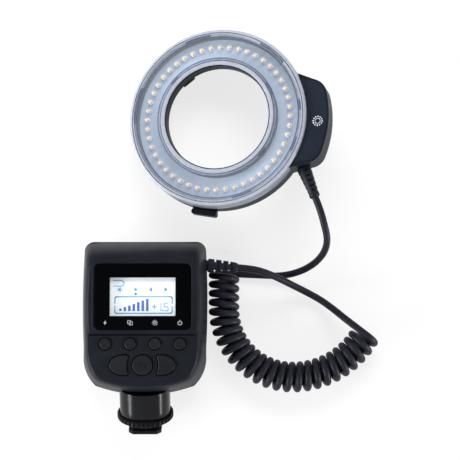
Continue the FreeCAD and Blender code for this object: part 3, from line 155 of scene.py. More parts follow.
cord_rubber = moulded("cord_rubber", (0.0065, 0.0067, 0.0115), (0.010, 0.0103, 0.0165), rough=0.46,
                      grain=1500, grain_depth=0.000002, sheen=0.16)

curls = curl_points()
route = [Vector(p) for p in RING_LEAD] + curls + [Vector(p) for p in reversed(CASE_LEAD)]
cord_curve = bpy.data.curves.new("curly_cord", "CURVE")
cord_curve.dimensions = "3D"
cord_curve.bevel_depth = CORD/2
cord_curve.bevel_resolution = 5
cord_curve.resolution_u = 6
cord_curve.use_fill_caps = True
line = cord_curve.splines.new("NURBS")
line.points.add(len(route) - 1)
for point, place in zip(line.points, route):
    point.co = (*(place*MM), 1)
line.order_u = 3
line.use_endpoint_u = True
cord = bpy.data.objects.new("curly_cord", cord_curve)
bpy.context.scene.collection.objects.link(cord)
cord.data.materials.append(cord_rubber)
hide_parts("cord_coil", "cord_controller_lead", "cord_ring_lead")
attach(cord, "light")


# Rear half of the case and battery door: moulded in near-black plastic with a fine spark-eroded
# grain. Two screws hold the halves, the door slides in rails, and their edges are broken by a
# small radius.
def dress(material, *names):
    for name in names:
        piece = nodes[name]
        piece.data.materials.clear()
        piece.data.materials.append(material)


def soften(width, *names, angle=28, segments=3):
    """Breaks the sharp edges of moulded pieces by a small radius and shades the rest smoothly."""
    for name in names:
        piece = nodes[name]
        custom = piece.data.attributes.get("custom_normal")
        if custom:
            piece.data.attributes.remove(custom)
        piece.data.shade_smooth()
        weld = piece.modifiers.new("welded", "WELD")
        weld.merge_threshold = 0.002*MM
        edge = piece.modifiers.new("edge_radius", "BEVEL")
        edge.width = width*MM
        edge.segments = segments
        edge.limit_method = "ANGLE"
        edge.angle_limit = math.radians(angle)
        edge.harden_normals = True


case_plastic = moulded("case_plastic", (0.006, 0.007, 0.0102), (0.009, 0.0103, 0.0148), 0.42, sheen=0.09)
dress(case_plastic, "rear_case", "battery_door")
soften(0.5, "rear_case", "battery_door")

# Front half of the case: one moulding with a pillowed brow, and flanks and chin that round into
# the face. The openings for glass and keys have broken edges, and a groove runs under the display
# frame. Its shape is given in millimetres from the control unit's own middle on the table.
UNIT = Matrix.Translation(Vector((-35.8, -50.3, 0.0))*MM)
PARTING = 22.15
FACE_INSIDE = 41.4
KEY_FACE = 43.4


def finish_piece(form, name, place, paints, body="light", smooth=None):
    """Turns a form into a named piece at its place, with its materials and body."""
    bmesh.ops.recalc_face_normals(form, faces=form.faces)
    mesh = bpy.data.meshes.new(name)
    form.to_mesh(mesh)
    form.free()
    mesh.transform(place)
    for paint in paints:
        mesh.materials.append(paint)
    if smooth is not None:
        mesh.shade_smooth()
        mesh.set_sharp_from_angle(angle=math.radians(smooth))
    piece = bpy.data.objects.new(name, mesh)
    bpy.context.scene.collection.objects.link(piece)
    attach(piece, body)
    return piece


def polar(radius, turn, x=0.0, y=0.0):
    """The point at a distance and in a direction from a middle."""
    return x + radius*math.cos(turn), y + radius*math.sin(turn)


def rounded_line(x, y, width, height, corner, steps=6):
    """A rectangle with rounded corners about a middle point."""
    points = []
    for sx, sy, start in ((1, 1, 0), (-1, 1, 90), (-1, -1, 180), (1, -1, 270)):
        for k in range(steps + 1):
            points.append(polar(corner, math.radians(start + 90*k/steps),
                                x + sx*(width/2 - corner), y + sy*(height/2 - corner)))
    return points


def arc(start, middle, end, steps):
    """Points of an arc through three points, without its last."""
    (x1, y1), (x2, y2), (x3, y3) = start, middle, end
    twist = 2*(x1*(y2 - y3) + x2*(y3 - y1) + x3*(y1 - y2))
    a, b, c = x1*x1 + y1*y1, x2*x2 + y2*y2, x3*x3 + y3*y3
    cx = (a*(y2 - y3) + b*(y3 - y1) + c*(y1 - y2))/twist
    cy = (a*(x3 - x2) + b*(x1 - x3) + c*(x2 - x1))/twist
    radius = math.hypot(x1 - cx, y1 - cy)
    t1, t2, t3 = (math.atan2(y - cy, x - cx) for x, y in (start, middle, end))
    sweep = (t3 - t1) % (2*math.pi)
    if (t2 - t1) % (2*math.pi) > sweep:
        sweep -= 2*math.pi
    return [polar(radius, t1 + sweep*k/steps, cx, cy) for k in range(steps)]


def eased(points, rounds):
    """Rounds the corners of a closed line a little."""
    for _ in range(rounds):
        points = [((a[0] + 2*b[0] + c[0])/4, (a[1] + 2*b[1] + c[1])/4)
                  for a, b, c in zip(points[-1:] + points[:-1], points, points[1:] + points[:1])]
    return points


def case_line(side, top, low):
    """The case seen from the front, drawn in by so much at its flanks, brow and chin."""
    half, brow, foot, knee = 35.55 - side, 43.5 - top, -43.5 + low, 28 - 0.7*side
    right = (arc((half - 6.3, brow), (half - 2.41, brow - 1.61), (half - 0.8, brow - 5.5), 8)
             + arc((half - 0.8, brow - 5.5), (half, 8.7), (half - 0.8, foot + 24), 16)
             + arc((half - 0.8, foot + 24), (half - 2.5, foot + 12), (knee, foot + 5), 14))
    chin = arc((knee, foot + 5), (0, foot), (-knee, foot + 5), 24)
    return eased(right + chin + [(-knee, foot + 5)] + [(-x, y) for x, y in reversed(right)], 3)


def grown(outline, amount):
    """A closed line moved outwards along its own normals."""
    turn = sum(a[0]*b[1] - b[0]*a[1] for a, b in zip(outline, outline[1:] + outline[:1]))
    hand = 1 if turn > 0 else -1
    points = []
    for a, b, c in zip(outline[-1:] + outline[:-1], outline, outline[1:] + outline[:1]):
        way = Vector((c[0] - a[0], c[1] - a[1])).normalized()
        points.append((b[0] + hand*amount*way.y, b[1] - hand*amount*way.x))
    return points


def round_line(x, y, radius, count=40):
    """A circle as a closed line."""
    return [polar(radius, 2*math.pi*k/count, x, y) for k in range(count)]


def bowed(points, steps=5):
    """A smooth closed line through points."""
    line = []
    before, after, beyond = points[-1:] + points[:-1], points[1:] + points[:1], points[2:] + points[:2]
    for a, b, c, d in zip(before, points, after, beyond):
        for k in range(steps):
            t = k/steps
            line.append(tuple(0.5*(2*q + (r - p)*t + (2*p - 5*q + 4*r - s)*t*t + (3*q - p - 3*r + s)*t**3)
                              for p, q, r, s in zip(a, b, c, d)))
    return line


def ring_at(form, outline, level):
    """A line's corners at one level."""
    return [form.verts.new((x*MM, y*MM, level*MM)) for x, y in outline]


def skin(form, rings, paint=0):
    """Joins closed rings of as many points, one after the other."""
    for one, two in zip(rings, rings[1:]):
        for i in range(len(one)):
            j = (i + 1) % len(one)
            form.faces.new((one[i], one[j], two[j], two[i])).material_index = paint


def sheet_between(form, border, holes, outlines):
    """A flat face inside one ring of corners and outside others, with the outline of each."""
    loops = [[Vector((x, y, 0)) for x, y in outline] for outline in outlines]
    corners = list(border)
    for hole in holes:
        corners += hole
    for a, b, c in tessellate_polygon(loops):
        form.faces.new((corners[a], corners[b], corners[c]))


GLASS_MIDDLE = 11.1
GLASS_WIDE = 54.3
GLASS_HIGH = 37.0
GROOVE_LINE = rounded_line(0, -10.2, 59.4, 0.5, 0.24)
KEY_PITCH = 13.9
ROUND_ROW = -15.2
LOWER_ROW = -27.0
WING = bowed([(8.05, 4.6), (8.7, 5.45), (10.9, 5.5), (14.2, 4.85), (16.7, 3.4), (18.05, 1.5), (18.4, 0.0),
              (18.05, -1.5), (16.7, -3.4), (14.2, -4.85), (10.9, -5.5), (8.7, -5.45), (8.05, -4.6),
              (8.7, -2.2), (8.9, 0.0), (8.7, 2.2)])
KEY_LINES = {
    "key_pilot": round_line(-1.5*KEY_PITCH, ROUND_ROW, 3.2),
    "key_mode": round_line(-0.5*KEY_PITCH, ROUND_ROW, 3.2),
    "key_light": round_line(0.5*KEY_PITCH, ROUND_ROW, 3.2),
    "key_power": round_line(1.5*KEY_PITCH, ROUND_ROW, 3.2),
    "key_centre": round_line(0, LOWER_ROW, 5.55, 56),
    "key_right": [(x, LOWER_ROW + y) for x, y in WING],
    "key_left": [(-x, LOWER_ROW + y) for x, y in WING],
}
front = bmesh.new()
shell_rings = []
for u in (0.0, 0.12, 0.25, 0.38, 0.5, 0.6, 0.7, 0.78, 0.85, 0.9, 0.94, 0.97, 0.985, 0.995, 1.0):
    bend = 1 - math.sqrt(1 - u**8)
    pillow = 1 - math.sqrt(1 - u**3)
    outline = case_line(2.9*u + 1.7*bend, 6.0*u + 4.7*pillow, 3.1*u + 1.9*bend)
    shell_rings.append((outline, PARTING + (KEY_FACE - PARTING)*u))
outer = [ring_at(front, outline, level) for outline, level in shell_rings]
skin(front, outer)
wells = [(rounded_line(0, GLASS_MIDDLE, GLASS_WIDE + 0.4, GLASS_HIGH + 0.4, 3.4), 0.05),
         (GROOVE_LINE, 0.0)]
wells += [(outline, 0.48) for outline in KEY_LINES.values()]
lips, floors, floor_lines, lip_lines = [], [], [], []
for outline, clear in wells:
    edge = [(grown(outline, clear + 0.22), KEY_FACE), (grown(outline, clear + 0.07), KEY_FACE - 0.06),
            (grown(outline, clear), KEY_FACE - 0.22), (grown(outline, clear), FACE_INSIDE)]
    levels = [ring_at(front, line, level) for line, level in edge]
    skin(front, levels)
    lips.append(levels[0])
    lip_lines.append(edge[0][0])
    floors.append(levels[-1])
    floor_lines.append(edge[-1][0])
sheet_between(front, outer[-1], lips, [shell_rings[-1][0]] + lip_lines)
inner_lines = [(case_line(6.2, 12.4, 6.6), FACE_INSIDE), (case_line(2.0, 2.0, 2.0), PARTING + 0.05)]
inner = [ring_at(front, line, level) for line, level in inner_lines]
sheet_between(front, inner[0], floors, [inner_lines[0][0]] + floor_lines)
skin(front, inner)
skin(front, [inner[-1], outer[0]])
front_shell = finish_piece(front, "front_shell", UNIT, [case_plastic], smooth=40)
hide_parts("front_case")

# Display frame: the upper half of the face is a plastic plate that stands a little higher, with
# soft edges and a thin ridge round the glass. It is moulded in one with the front half.
face_line = case_line(5.0, 11.2, 5.0)
STEP = -9.6
first_low = next(i for i, (x, y) in enumerate(face_line) if y < STEP + 1.4)
last_low = next(i for i in range(len(face_line) - 1, 0, -1) if face_line[i][1] < STEP + 1.4)
edge_x = face_line[first_low][0]
frame_line = face_line[:first_low]
low_corner = arc((edge_x, STEP + 1.2), (edge_x - 0.35, STEP + 0.35), (edge_x - 1.2, STEP), 6)
frame_line += [(edge_x, STEP + 1.3)] + low_corner
frame_line += [(edge_x - 1.2 - (2*edge_x - 2.4)*k/12, STEP) for k in range(13)]
frame_line += [(-x, y) for x, y in reversed(low_corner[:-1])]
frame_line += [(-edge_x, STEP + 1.3)] + face_line[last_low + 1:]
raised = bmesh.new()


def drawn_in(amount):
    """The frame's line moved in, by less along the step than round the brow and flanks."""
    return [(x + (a - x)*(0.4 if y < STEP + 1.5 else 1), y + (b - y)*(0.4 if y < STEP + 1.5 else 1))
            for (x, y), (a, b) in zip(frame_line, grown(frame_line, -amount))]


FRAME_EDGE = ((-0.85, 42.4), (-0.8, 42.85), (-0.62, 43.25), (-0.3, 43.6), (0.1, 43.84), (0.5, 43.97),
              (0.9, 44.02))
frame_lines = [(drawn_in(inset), level) for inset, level in FRAME_EDGE]
frame_rings = [ring_at(raised, line, level) for line, level in frame_lines]
skin(raised, frame_rings)
ridge = [(1.45, 44.02), (1.2, 44.13), (0.95, 44.25), (0.62, 44.3), (0.32, 44.24), (0.1, 44.0), (0.1, 42.4)]
ridge_lines = [rounded_line(0, GLASS_MIDDLE, GLASS_WIDE + 2*grow, GLASS_HIGH + 2*grow, 3.3 + grow)
               for grow, _ in ridge]
ridge_rings = [ring_at(raised, line, level) for line, (_, level) in zip(ridge_lines, ridge)]
skin(raised, ridge_rings)
sheet_between(raised, frame_rings[-1], [ridge_rings[0]], [frame_lines[-1][0], ridge_lines[0]])
sheet_between(raised, frame_rings[0], [ridge_rings[-1]], [frame_lines[0][0], ridge_lines[-1]])
finish_piece(raised, "display_frame", UNIT, [case_plastic], smooth=45)

# Display glass: a clear acrylic sheet, printed black behind except over the lit part. It is cut
# with soft edges and glued into the frame.
LIT_WIDE = 36.7
LIT_HIGH = 21.5


def printed_glass():
    """The black print seen through the polished sheet."""
    material, tree, shader = new_material("printed_glass")
    blacks = [(0.3, (0.0008, 0.001, 0.0014)), (0.7, (0.0014, 0.0017, 0.0022))]
    tree.links.new(ramp(tree, noise(tree, 30), blacks), shader.inputs["Base Color"])
    tree.links.new(spread(tree, noise(tree, 200), 0.04, 0.08), shader.inputs["Roughness"])
    shader.inputs["Specular IOR Level"].default_value = 0.01
    return material


def clear_glass():
    """The clear part of the sheet over the display."""
    material, tree, shader = new_material("clear_glass")
    tree.links.new(ramp(tree, noise(tree, 40), [(0.3, (0.9, 0.95, 0.98)), (0.7, (0.96, 0.98, 1.0))]),
                   shader.inputs["Base Color"])
    tree.links.new(spread(tree, noise(tree, 200), 0.04, 0.08), shader.inputs["Roughness"])
    shader.inputs["Alpha"].default_value = 0.05
    return material


glass = bmesh.new()
glass_lines, glass_rings = [], []
for shrink, level in ((0.0, 42.9), (0.0, 44.05), (0.2, 44.2)):
    outline = rounded_line(0, GLASS_MIDDLE, GLASS_WIDE - 2*shrink, GLASS_HIGH - 2*shrink, 3.3 - shrink)
    glass_lines.append((outline, level))
    glass_rings.append(ring_at(glass, outline, level))
skin(glass, glass_rings)
pane = [(-LIT_WIDE/2, GLASS_MIDDLE - LIT_HIGH/2), (LIT_WIDE/2, GLASS_MIDDLE - LIT_HIGH/2),
        (LIT_WIDE/2, GLASS_MIDDLE + LIT_HIGH/2), (-LIT_WIDE/2, GLASS_MIDDLE + LIT_HIGH/2)]
for end in (0, -1):
    outline, level = glass_lines[end]
    pane_corners = ring_at(glass, pane, level)
    sheet_between(glass, glass_rings[end], [pane_corners], [outline, pane])
    glass.faces.new(pane_corners).material_index = 1
glass_sheet = finish_piece(glass, "glass_sheet", UNIT, [printed_glass(), clear_glass()])
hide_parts("display_window")


# Display: a liquid-crystal panel with a white backlight, clipped in under the glass. Its marks
# are blue segments: a battery, a row of plain icons, and a framed scale with a number.
def display_white():
    """Backlit white film with a faint unevenness."""
    material, tree, shader = new_material("display_white")
    white = ramp(tree, noise(tree, 60), [(0.3, (0.72, 0.77, 0.80)), (0.7, (0.78, 0.82, 0.84))])
    tree.links.new(white, shader.inputs["Base Color"])
    tree.links.new(white, shader.inputs["Emission Color"])
    shader.inputs["Emission Strength"].default_value = 0.25
    tree.links.new(spread(tree, noise(tree, 300), 0.35, 0.5), shader.inputs["Roughness"])
    return material


def display_ink(name, dark, light):
    """One of the display's blues: a segment that the backlight shines through."""
    material, tree, shader = new_material(name)
    blue = ramp(tree, noise(tree, 400), [(0.3, dark), (0.7, light)])
    tree.links.new(blue, shader.inputs["Base Color"])
    tree.links.new(blue, shader.inputs["Emission Color"])
    shader.inputs["Emission Strength"].default_value = 0.05
    tree.links.new(spread(tree, noise(tree, 300), 0.4, 0.55), shader.inputs["Roughness"])
    return material


dress(display_white(), "display_panel")
deep_blue = display_ink("display_deep_blue", (0.001, 0.07, 0.37), (0.002, 0.085, 0.43))
pale_blue = display_ink("display_pale_blue", (0.02, 0.30, 0.58), (0.03, 0.35, 0.64))


def prism(form, outline, low, high, paint=0):
    """A straight-sided solid over an outline, from one level to another, in millimetres."""
    foot, top = ring_at(form, outline, low), ring_at(form, outline, high)
    skin(form, [foot, top], paint)
    for a, b, c in tessellate_polygon([[Vector((x, y, 0)) for x, y in outline]]):
        form.faces.new((top[a], top[b], top[c])).material_index = paint
        form.faces.new((foot[c], foot[b], foot[a])).material_index = paint


marks = bmesh.new()
MARK_LOW, MARK_HIGH = 41.92, 41.97


def at_display(u, v):
    """A place on the display, from its upper left corner, in the unit's own frame."""
    return u - LIT_WIDE/2, GLASS_MIDDLE + LIT_HIGH/2 - v


def mark(outline, paint):
    prism(marks, [at_display(u, v) for u, v in outline], MARK_LOW, MARK_HIGH, paint)


def bar(x1, y1, x2, y2, width):
    """The four corners of a straight line of a given width."""
    along = Vector((x2 - x1, y2 - y1)).normalized()*width/2
    across = Vector((-along.y, along.x))
    return [(x1 - along.x + across.x, y1 - along.y + across.y),
            (x2 + along.x + across.x, y2 + along.y + across.y),
            (x2 + along.x - across.x, y2 + along.y - across.y),
            (x1 - along.x - across.x, y1 - along.y - across.y)]


def stroke(u1, v1, u2, v2, width):
    """A straight line on the display."""
    mark(bar(u1, v1, u2, v2, width), 1)


def dot(u, v, radius, paint):
    mark([polar(radius, k*math.pi/8, u, v) for k in range(16)], paint)


# Battery: an outline with a rounded right end.
battery = [(1.9, 1.7), (6.6, 1.7), (7.5, 2.2), (7.8, 3.2), (7.5, 4.2), (6.6, 4.7), (1.9, 4.7)]
for (u1, v1), (u2, v2) in zip(battery, battery[1:]):
    stroke(u1, v1, u2, v2, 0.42)
# Lamp and bolt, for the two kinds of light, and two arrowheads, for its left and right half.
dot(5.4, 6.7, 0.8, 1)
for k in range(8):
    turn = math.radians(45*k + 22.5)
    stroke(*polar(1.25, turn, 5.4, 6.7), *polar(1.7, turn, 5.4, 6.7), 0.32)
mark([(14.9, 5.0), (12.9, 7.0), (14.1, 7.0), (13.5, 8.3), (15.7, 6.2), (14.4, 6.2)], 1)
mark([(23.5, 5.3), (23.5, 8.1), (21.6, 6.7)], 1)
mark([(30.4, 5.3), (30.4, 8.1), (32.3, 6.7)], 1)
dot(14.35, 9.15, 0.68, 0)
# Frame with rounded corners, open halfway up both sides.
for hand in (-1, 1):
    for top in (-1, 1):
        corner = []
        for k in range(5):
            turn = math.radians(90*k/4)
            corner.append((18.75 + hand*(14.9 + 1.1*math.sin(turn)), 15.3 + top*(3.5 + 1.1*math.cos(turn))))
        corner = [(18.75, 15.3 + top*4.6)] + corner + [(18.75 + hand*16.0, 15.3 + top*0.9)]
        for (u1, v1), (u2, v2) in zip(corner, corner[1:]):
            stroke(u1, v1, u2, v2, 0.6)
# Seven rising bars, a plus sign and the number 1.5 in seven-segment form.
dot(5.85, 17.95, 0.74, 0)
for u, top in ((8.35, 16.4), (10.85, 15.6), (13.35, 14.7), (15.85, 13.7), (18.35, 12.8), (20.85, 11.9)):
    mark([(u - 0.74, 18.7), (u + 0.74, 18.7), (u + 0.74, top), (u - 0.74, top)], 0)
stroke(23.8, 16.3, 25.8, 16.3, 0.5)
stroke(24.8, 15.3, 24.8, 17.3, 0.5)
stroke(28.5, 14.4, 28.5, 16.2, 0.36)
stroke(28.5, 16.8, 28.5, 18.5, 0.36)
dot(29.5, 18.5, 0.3, 1)
dot(29.5, 18.4, 0.34, 1)
for u1, v1, u2, v2 in ((30.5, 14.3, 32.3, 14.3), (30.3, 14.6, 30.3, 16.2), (30.5, 16.4, 32.3, 16.4),
                       (32.5, 16.7, 32.5, 18.2), (30.5, 18.5, 32.3, 18.5)):
    stroke(u1, v1, u2, v2, 0.42)
finish_piece(marks, "display_marks", UNIT, [deep_blue, pale_blue])

# Icons over the four round keys: a bolt, two squares, a sun and a power sign, screened on the
# glass in pale ink.
ICON_ROW = -3.45


def printed_ink(name, dark, light):
    material, tree, shader = new_material(name)
    tree.links.new(ramp(tree, noise(tree, 900), [(0.35, dark), (0.65, light)]), shader.inputs["Base Color"])
    tree.links.new(spread(tree, noise(tree, 600), 0.45, 0.6), shader.inputs["Roughness"])
    return material


icons = bmesh.new()
ICON_LOW, ICON_HIGH = 44.19, 44.22


def icon_line(middle, x1, y1, x2, y2, width=0.32):
    corners = reversed(bar(x1, y1, x2, y2, width))
    prism(icons, [(middle + x, ICON_ROW + y) for x, y in corners], ICON_LOW, ICON_HIGH)


def icon_arc(middle, x, y, radius, start, end, width=0.32):
    """An arc as a bent band, in steps of about 15 degrees."""
    steps = max(4, int(abs(end - start)/15))
    turns = [math.radians(start + (end - start)*k/steps) for k in range(steps + 1)]
    outer = [polar(radius + width/2, t, x, y) for t in turns]
    inner = [polar(radius - width/2, t, x, y) for t in turns]
    for k in range(steps):
        quad = (outer[k], outer[k + 1], inner[k + 1], inner[k])
        prism(icons, [(middle + px, ICON_ROW + py) for px, py in quad], ICON_LOW, ICON_HIGH)


first, second, third, fourth = (KEY_PITCH*k for k in (-1.5, -0.5, 0.5, 1.5))
bolt = [(0.35, 1.45), (-0.95, -0.2), (-0.1, -0.2), (-0.45, -1.45), (0.95, 0.3), (0.1, 0.3)]
prism(icons, [(first + x, ICON_ROW + y) for x, y in bolt], ICON_LOW, ICON_HIGH)
for x, y in ((-0.45, 0.35), (0.45, -0.35)):
    corners = [(x - 0.9, y - 0.9), (x + 0.9, y - 0.9), (x + 0.9, y + 0.9), (x - 0.9, y + 0.9)]
    for (x1, y1), (x2, y2) in zip(corners, corners[1:] + corners[:1]):
        icon_line(second, x1, y1, x2, y2, 0.26)
icon_arc(third, 0, 0, 0.62, 0, 360, 0.3)
for k in range(8):
    turn = math.radians(45*k)
    icon_line(third, *polar(1.12, turn), *polar(1.5, turn), 0.26)
icon_arc(fourth, 0, -0.1, 1.1, -235, 55, 0.3)
icon_line(fourth, 0, 0.3, 0, 1.4, 0.3)
pale_print = printed_ink("pale_print", (0.42, 0.43, 0.45), (0.55, 0.56, 0.58))
finish_piece(icons, "glass_icons", UNIT, [pale_print])

# Keys: satin plastic caps with rounded rims and a shallow dish, which stand on the rubber mat.
# The three lower ones carry small raised marks: an arrowhead, a ring with a dot, an arrowhead.
key_plastic = moulded("key_plastic", (0.0075, 0.008, 0.010), (0.012, 0.0128, 0.0158), 0.34, sheen=0.10)
KEY_FOOT, KEY_SHOULDER, KEY_TOP = 40.2, 43.7, 44.05
CAP_RIM = ((0.08, 43.9), (0.24, 44.05), (0.5, 44.15), (0.8, 44.17))
MARK_SUNK, MARK_RAISED = KEY_TOP - 0.1, KEY_TOP + 0.16


def bent_quad(inner, outer, start, end, x=0.0, y=0.0):
    """One short stretch of a ring, between two radii and two directions."""
    return [polar(r, t, x, y) for r, t in ((outer, start), (outer, end), (inner, end), (inner, start))]


for name, outline in KEY_LINES.items():
    cap = bmesh.new()
    middle = Vector((sum(x for x, _ in outline), sum(y for _, y in outline)))/len(outline)
    cap_levels = [(outline, KEY_FOOT), (outline, KEY_SHOULDER)]
    cap_levels += [(grown(outline, -inset), level) for inset, level in CAP_RIM]
    last = cap_levels[-1][0]
    for share, level in ((0.85, 44.14), (0.6, 44.08), (0.3, KEY_TOP)):
        cap_levels.append(([tuple(middle + (Vector(p) - middle)*share) for p in last], level))
    cap_rings = [ring_at(cap, line, level) for line, level in cap_levels]
    skin(cap, cap_rings)
    for ring_end, level in ((cap_rings[-1], KEY_TOP - 0.01), (cap_rings[0], KEY_FOOT)):
        tip = cap.verts.new((middle.x*MM, middle.y*MM, level*MM))
        for i in range(len(ring_end)):
            cap.faces.new((ring_end[i], ring_end[(i + 1) % len(ring_end)], tip))
    if name in ("key_left", "key_right"):
        hand = -1 if name == "key_left" else 1
        arrowhead = [(hand*13.6, LOWER_ROW), (hand*12.1, LOWER_ROW - 0.95), (hand*12.1, LOWER_ROW + 0.95)]
        prism(cap, arrowhead, MARK_SUNK, MARK_RAISED)
    if name == "key_centre":
        for k in range(24):
            t1, t2 = math.radians(15*k), math.radians(15*(k + 1))
            prism(cap, bent_quad(1.5, 1.9, t1, t2, 0.0, LOWER_ROW), MARK_SUNK, MARK_RAISED)
        prism(cap, round_line(0, LOWER_ROW, 0.55, 12), MARK_SUNK, MARK_RAISED)
    key = finish_piece(cap, name + "_cap", UNIT, [key_plastic], name, smooth=45)
    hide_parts(name)


# Inside of the control unit: green boards, the rubber key mat, cells in plain jackets, gilt
# contacts and blackened screws. They show only where a cover is off.
def plain(name, dark, light, rough):
    material, tree, shader = new_material(name)
    tree.links.new(ramp(tree, noise(tree, 150), [(0.3, dark), (0.7, light)]), shader.inputs["Base Color"])
    tree.links.new(spread(tree, noise(tree, 500), rough - 0.05, rough + 0.05), shader.inputs["Roughness"])
    return material


def metal(name, dark, light, rough):
    material, tree, shader = new_material(name)
    tree.links.new(ramp(tree, noise(tree, 300), [(0.3, dark), (0.7, light)]), shader.inputs["Base Color"])
    tree.links.new(spread(tree, noise(tree, 900), rough - 0.06, rough + 0.08), shader.inputs["Roughness"])
    tree.links.new(bump(tree, noise(tree, 4000, 1), 0.2, 0.00001), shader.inputs["Normal"])
    shader.inputs["Metallic"].default_value = 1.0
    return material


steel = metal("plated_steel", (0.50, 0.50, 0.51), (0.62, 0.62, 0.63), 0.28)
dark_steel = metal("blackened_steel", (0.06, 0.06, 0.065), (0.10, 0.10, 0.105), 0.38)
brass = metal("gilt_brass", (0.72, 0.52, 0.22), (0.84, 0.64, 0.30), 0.22)
board_green = plain("board_green", (0.01, 0.08, 0.035), (0.02, 0.12, 0.05), 0.35)
dress(board_green, "main_board")
dress(plain("cell_jacket", (0.05, 0.09, 0.16), (0.08, 0.13, 0.22), 0.3), "battery_cells")
dress(dark_steel, "case_screws")
dress(brass, "battery_contacts")
boot_rubber = moulded("boot_rubber", (0.006, 0.008, 0.012), (0.010, 0.012, 0.018), rough=0.46,
                      grain=1800, grain_depth=0.00001, sheen=0.14)
dress(boot_rubber, "button_mat")

# Shoe: a smooth, half-gloss black column for a neck, a knurled lock wheel on its stem, a plated
# clamp washer, and the black foot with its gilt contacts, held by four screws. The neck's shape
# is given along its own axis.
shoe_plastic = moulded("shoe_plastic", (0.005, 0.0052, 0.006), (0.008, 0.0083, 0.0095), rough=0.20,
                       grain=1500, grain_depth=0.00001, sheen=0.12)
wheel_plastic = moulded("wheel_plastic", (0.005, 0.0052, 0.006), (0.008, 0.0083, 0.0095), rough=0.36,
                        grain=1500, grain_depth=0.00002, sheen=0.05)
dress(wheel_plastic, "lock_wheel", "shoe_foot")
dress(steel, "clamp_washer", "foot_screws")
dress(brass, "centre_contact", "small_contacts")
soften(0.25, "shoe_foot", angle=35)
NECK_AT = Vector((0, -43.5, 20.5))*MM
NECK_TILT = math.radians(116)
SHOE = UNIT @ Matrix.Translation(NECK_AT) @ Matrix.Rotation(NECK_TILT, 4, "X")


def band(form, outer, inner, low, high):
    """A closed frame between two outlines with as many points."""
    edges = ((outer, low), (outer, high), (inner, high), (inner, low))
    rings = [ring_at(form, outline, level) for outline, level in edges]
    skin(form, rings + rings[:1])


NECK_HALF_WIDE, NECK_HALF_DEEP, NECK_ROUND = 14.35, 13.9, 0.86
NECK_LEVELS = ((-6.0, 1.0), (-2.0, 1.0), (2.0, 1.0), (6.0, 1.0), (8.9, 0.998), (9.5, 0.99), (9.85, 0.97),
               (10.0, 0.93))
STEM_RADIUS, BORE_RADIUS = 7.5, 2.4
column = bmesh.new()
neck_levels = []
for level, share in NECK_LEVELS:
    outline = []
    for k in range(72):
        turn = 2*math.pi*k/72
        c, s = math.cos(turn), math.sin(turn)
        outline.append((NECK_HALF_WIDE*share*math.copysign(abs(c)**NECK_ROUND, c),
                        NECK_HALF_DEEP*share*math.copysign(abs(s)**NECK_ROUND, s)))
    neck_levels.append(ring_at(column, outline, level))
skin(column, neck_levels)
column.faces.new(neck_levels[0])
column.faces.new(neck_levels[-1])
contact_bore = [polar(BORE_RADIUS, math.radians(11.25 + 22.5*k)) for k in range(16)]
prism(column, round_line(0, 0, STEM_RADIUS), 9.9, 14.0)
band(column, round_line(0, 0, STEM_RADIUS), round_line(0, 0, BORE_RADIUS), 13.9, 16.7)
band(column, rounded_line(0, 0, 12, 12, 0.6, 3), contact_bore, 16.6, 18.4)
neck = finish_piece(column, "neck_column", SHOE, [shoe_plastic], smooth=40)
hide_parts("shoe_neck")


# Cord boots: tapering sleeves of black rubber, moulded on the cord and held in the housings.
# Slots part of the way round let them bend.
def strain_relief(name, replaced, place, profile, slots, slot_deep):
    """A boot along Z: profile is level and radius, slots are level, half width, middle, reach."""
    form = bmesh.new()
    around, fine = 56, 110
    first, last = profile[0][0], profile[-1][0]
    rings = []
    for i in range(fine + 1):
        level = first + (last - first)*i/fine
        for (z1, r1), (z2, r2) in zip(profile, profile[1:]):
            if z1 <= level <= z2 + 1e-9:
                radius = r1 + (r2 - r1)*(level - z1)/(z2 - z1)
        outline = []
        for k in range(around):
            turn = 360*k/around
            deep = 0
            for z, half, middle, reach in slots:
                away = abs((turn - middle + 180) % 360 - 180)
                if abs(level - z) < half and away < reach:
                    deep = slot_deep*min(1, (reach - away)/12)
            outline.append(polar(radius - deep, math.radians(turn)))
        rings.append(ring_at(form, outline, level))
    skin(form, rings)
    form.faces.new(rings[0])
    form.faces.new(rings[-1])
    boot = finish_piece(form, name, place, [boot_rubber], smooth=40)
    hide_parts(replaced)


CASE_BOOT = [(-3.2, 3.0), (0.3, 3.0), (0.4, 3.9), (0.7, 4.0), (3.9, 3.85), (8.0, 3.6), (12.0, 3.3),
             (15.6, 3.0), (16.6, 2.75), (17.2, 2.5), (17.5, 2.1)]
CASE_SLOTS = [(4.35, 0.5, 90, 60), (8.4, 0.45, 90, 60), (12.4, 0.4, 90, 60), (4.35, 0.4, 270, 60),
              (8.4, 0.4, 270, 60), (12.4, 0.4, 270, 60), (2.5, 0.35, 0, 50), (6.4, 0.45, 180, 58),
              (10.4, 0.45, 180, 58), (14.2, 0.4, 180, 55), (6.4, 0.4, 0, 58), (10.4, 0.4, 0, 58)]
ALONG_X = Matrix.Rotation(math.radians(90), 4, "Y")
case_exit = UNIT @ Matrix.Translation(Vector((35.45, 30.0, 22.0))*MM)
case_exit = case_exit @ Matrix.Rotation(math.radians(-4.5), 4, "Z") @ ALONG_X
strain_relief("case_boot_sleeve", "controller_boot", case_exit, CASE_BOOT, CASE_SLOTS, 1.5)

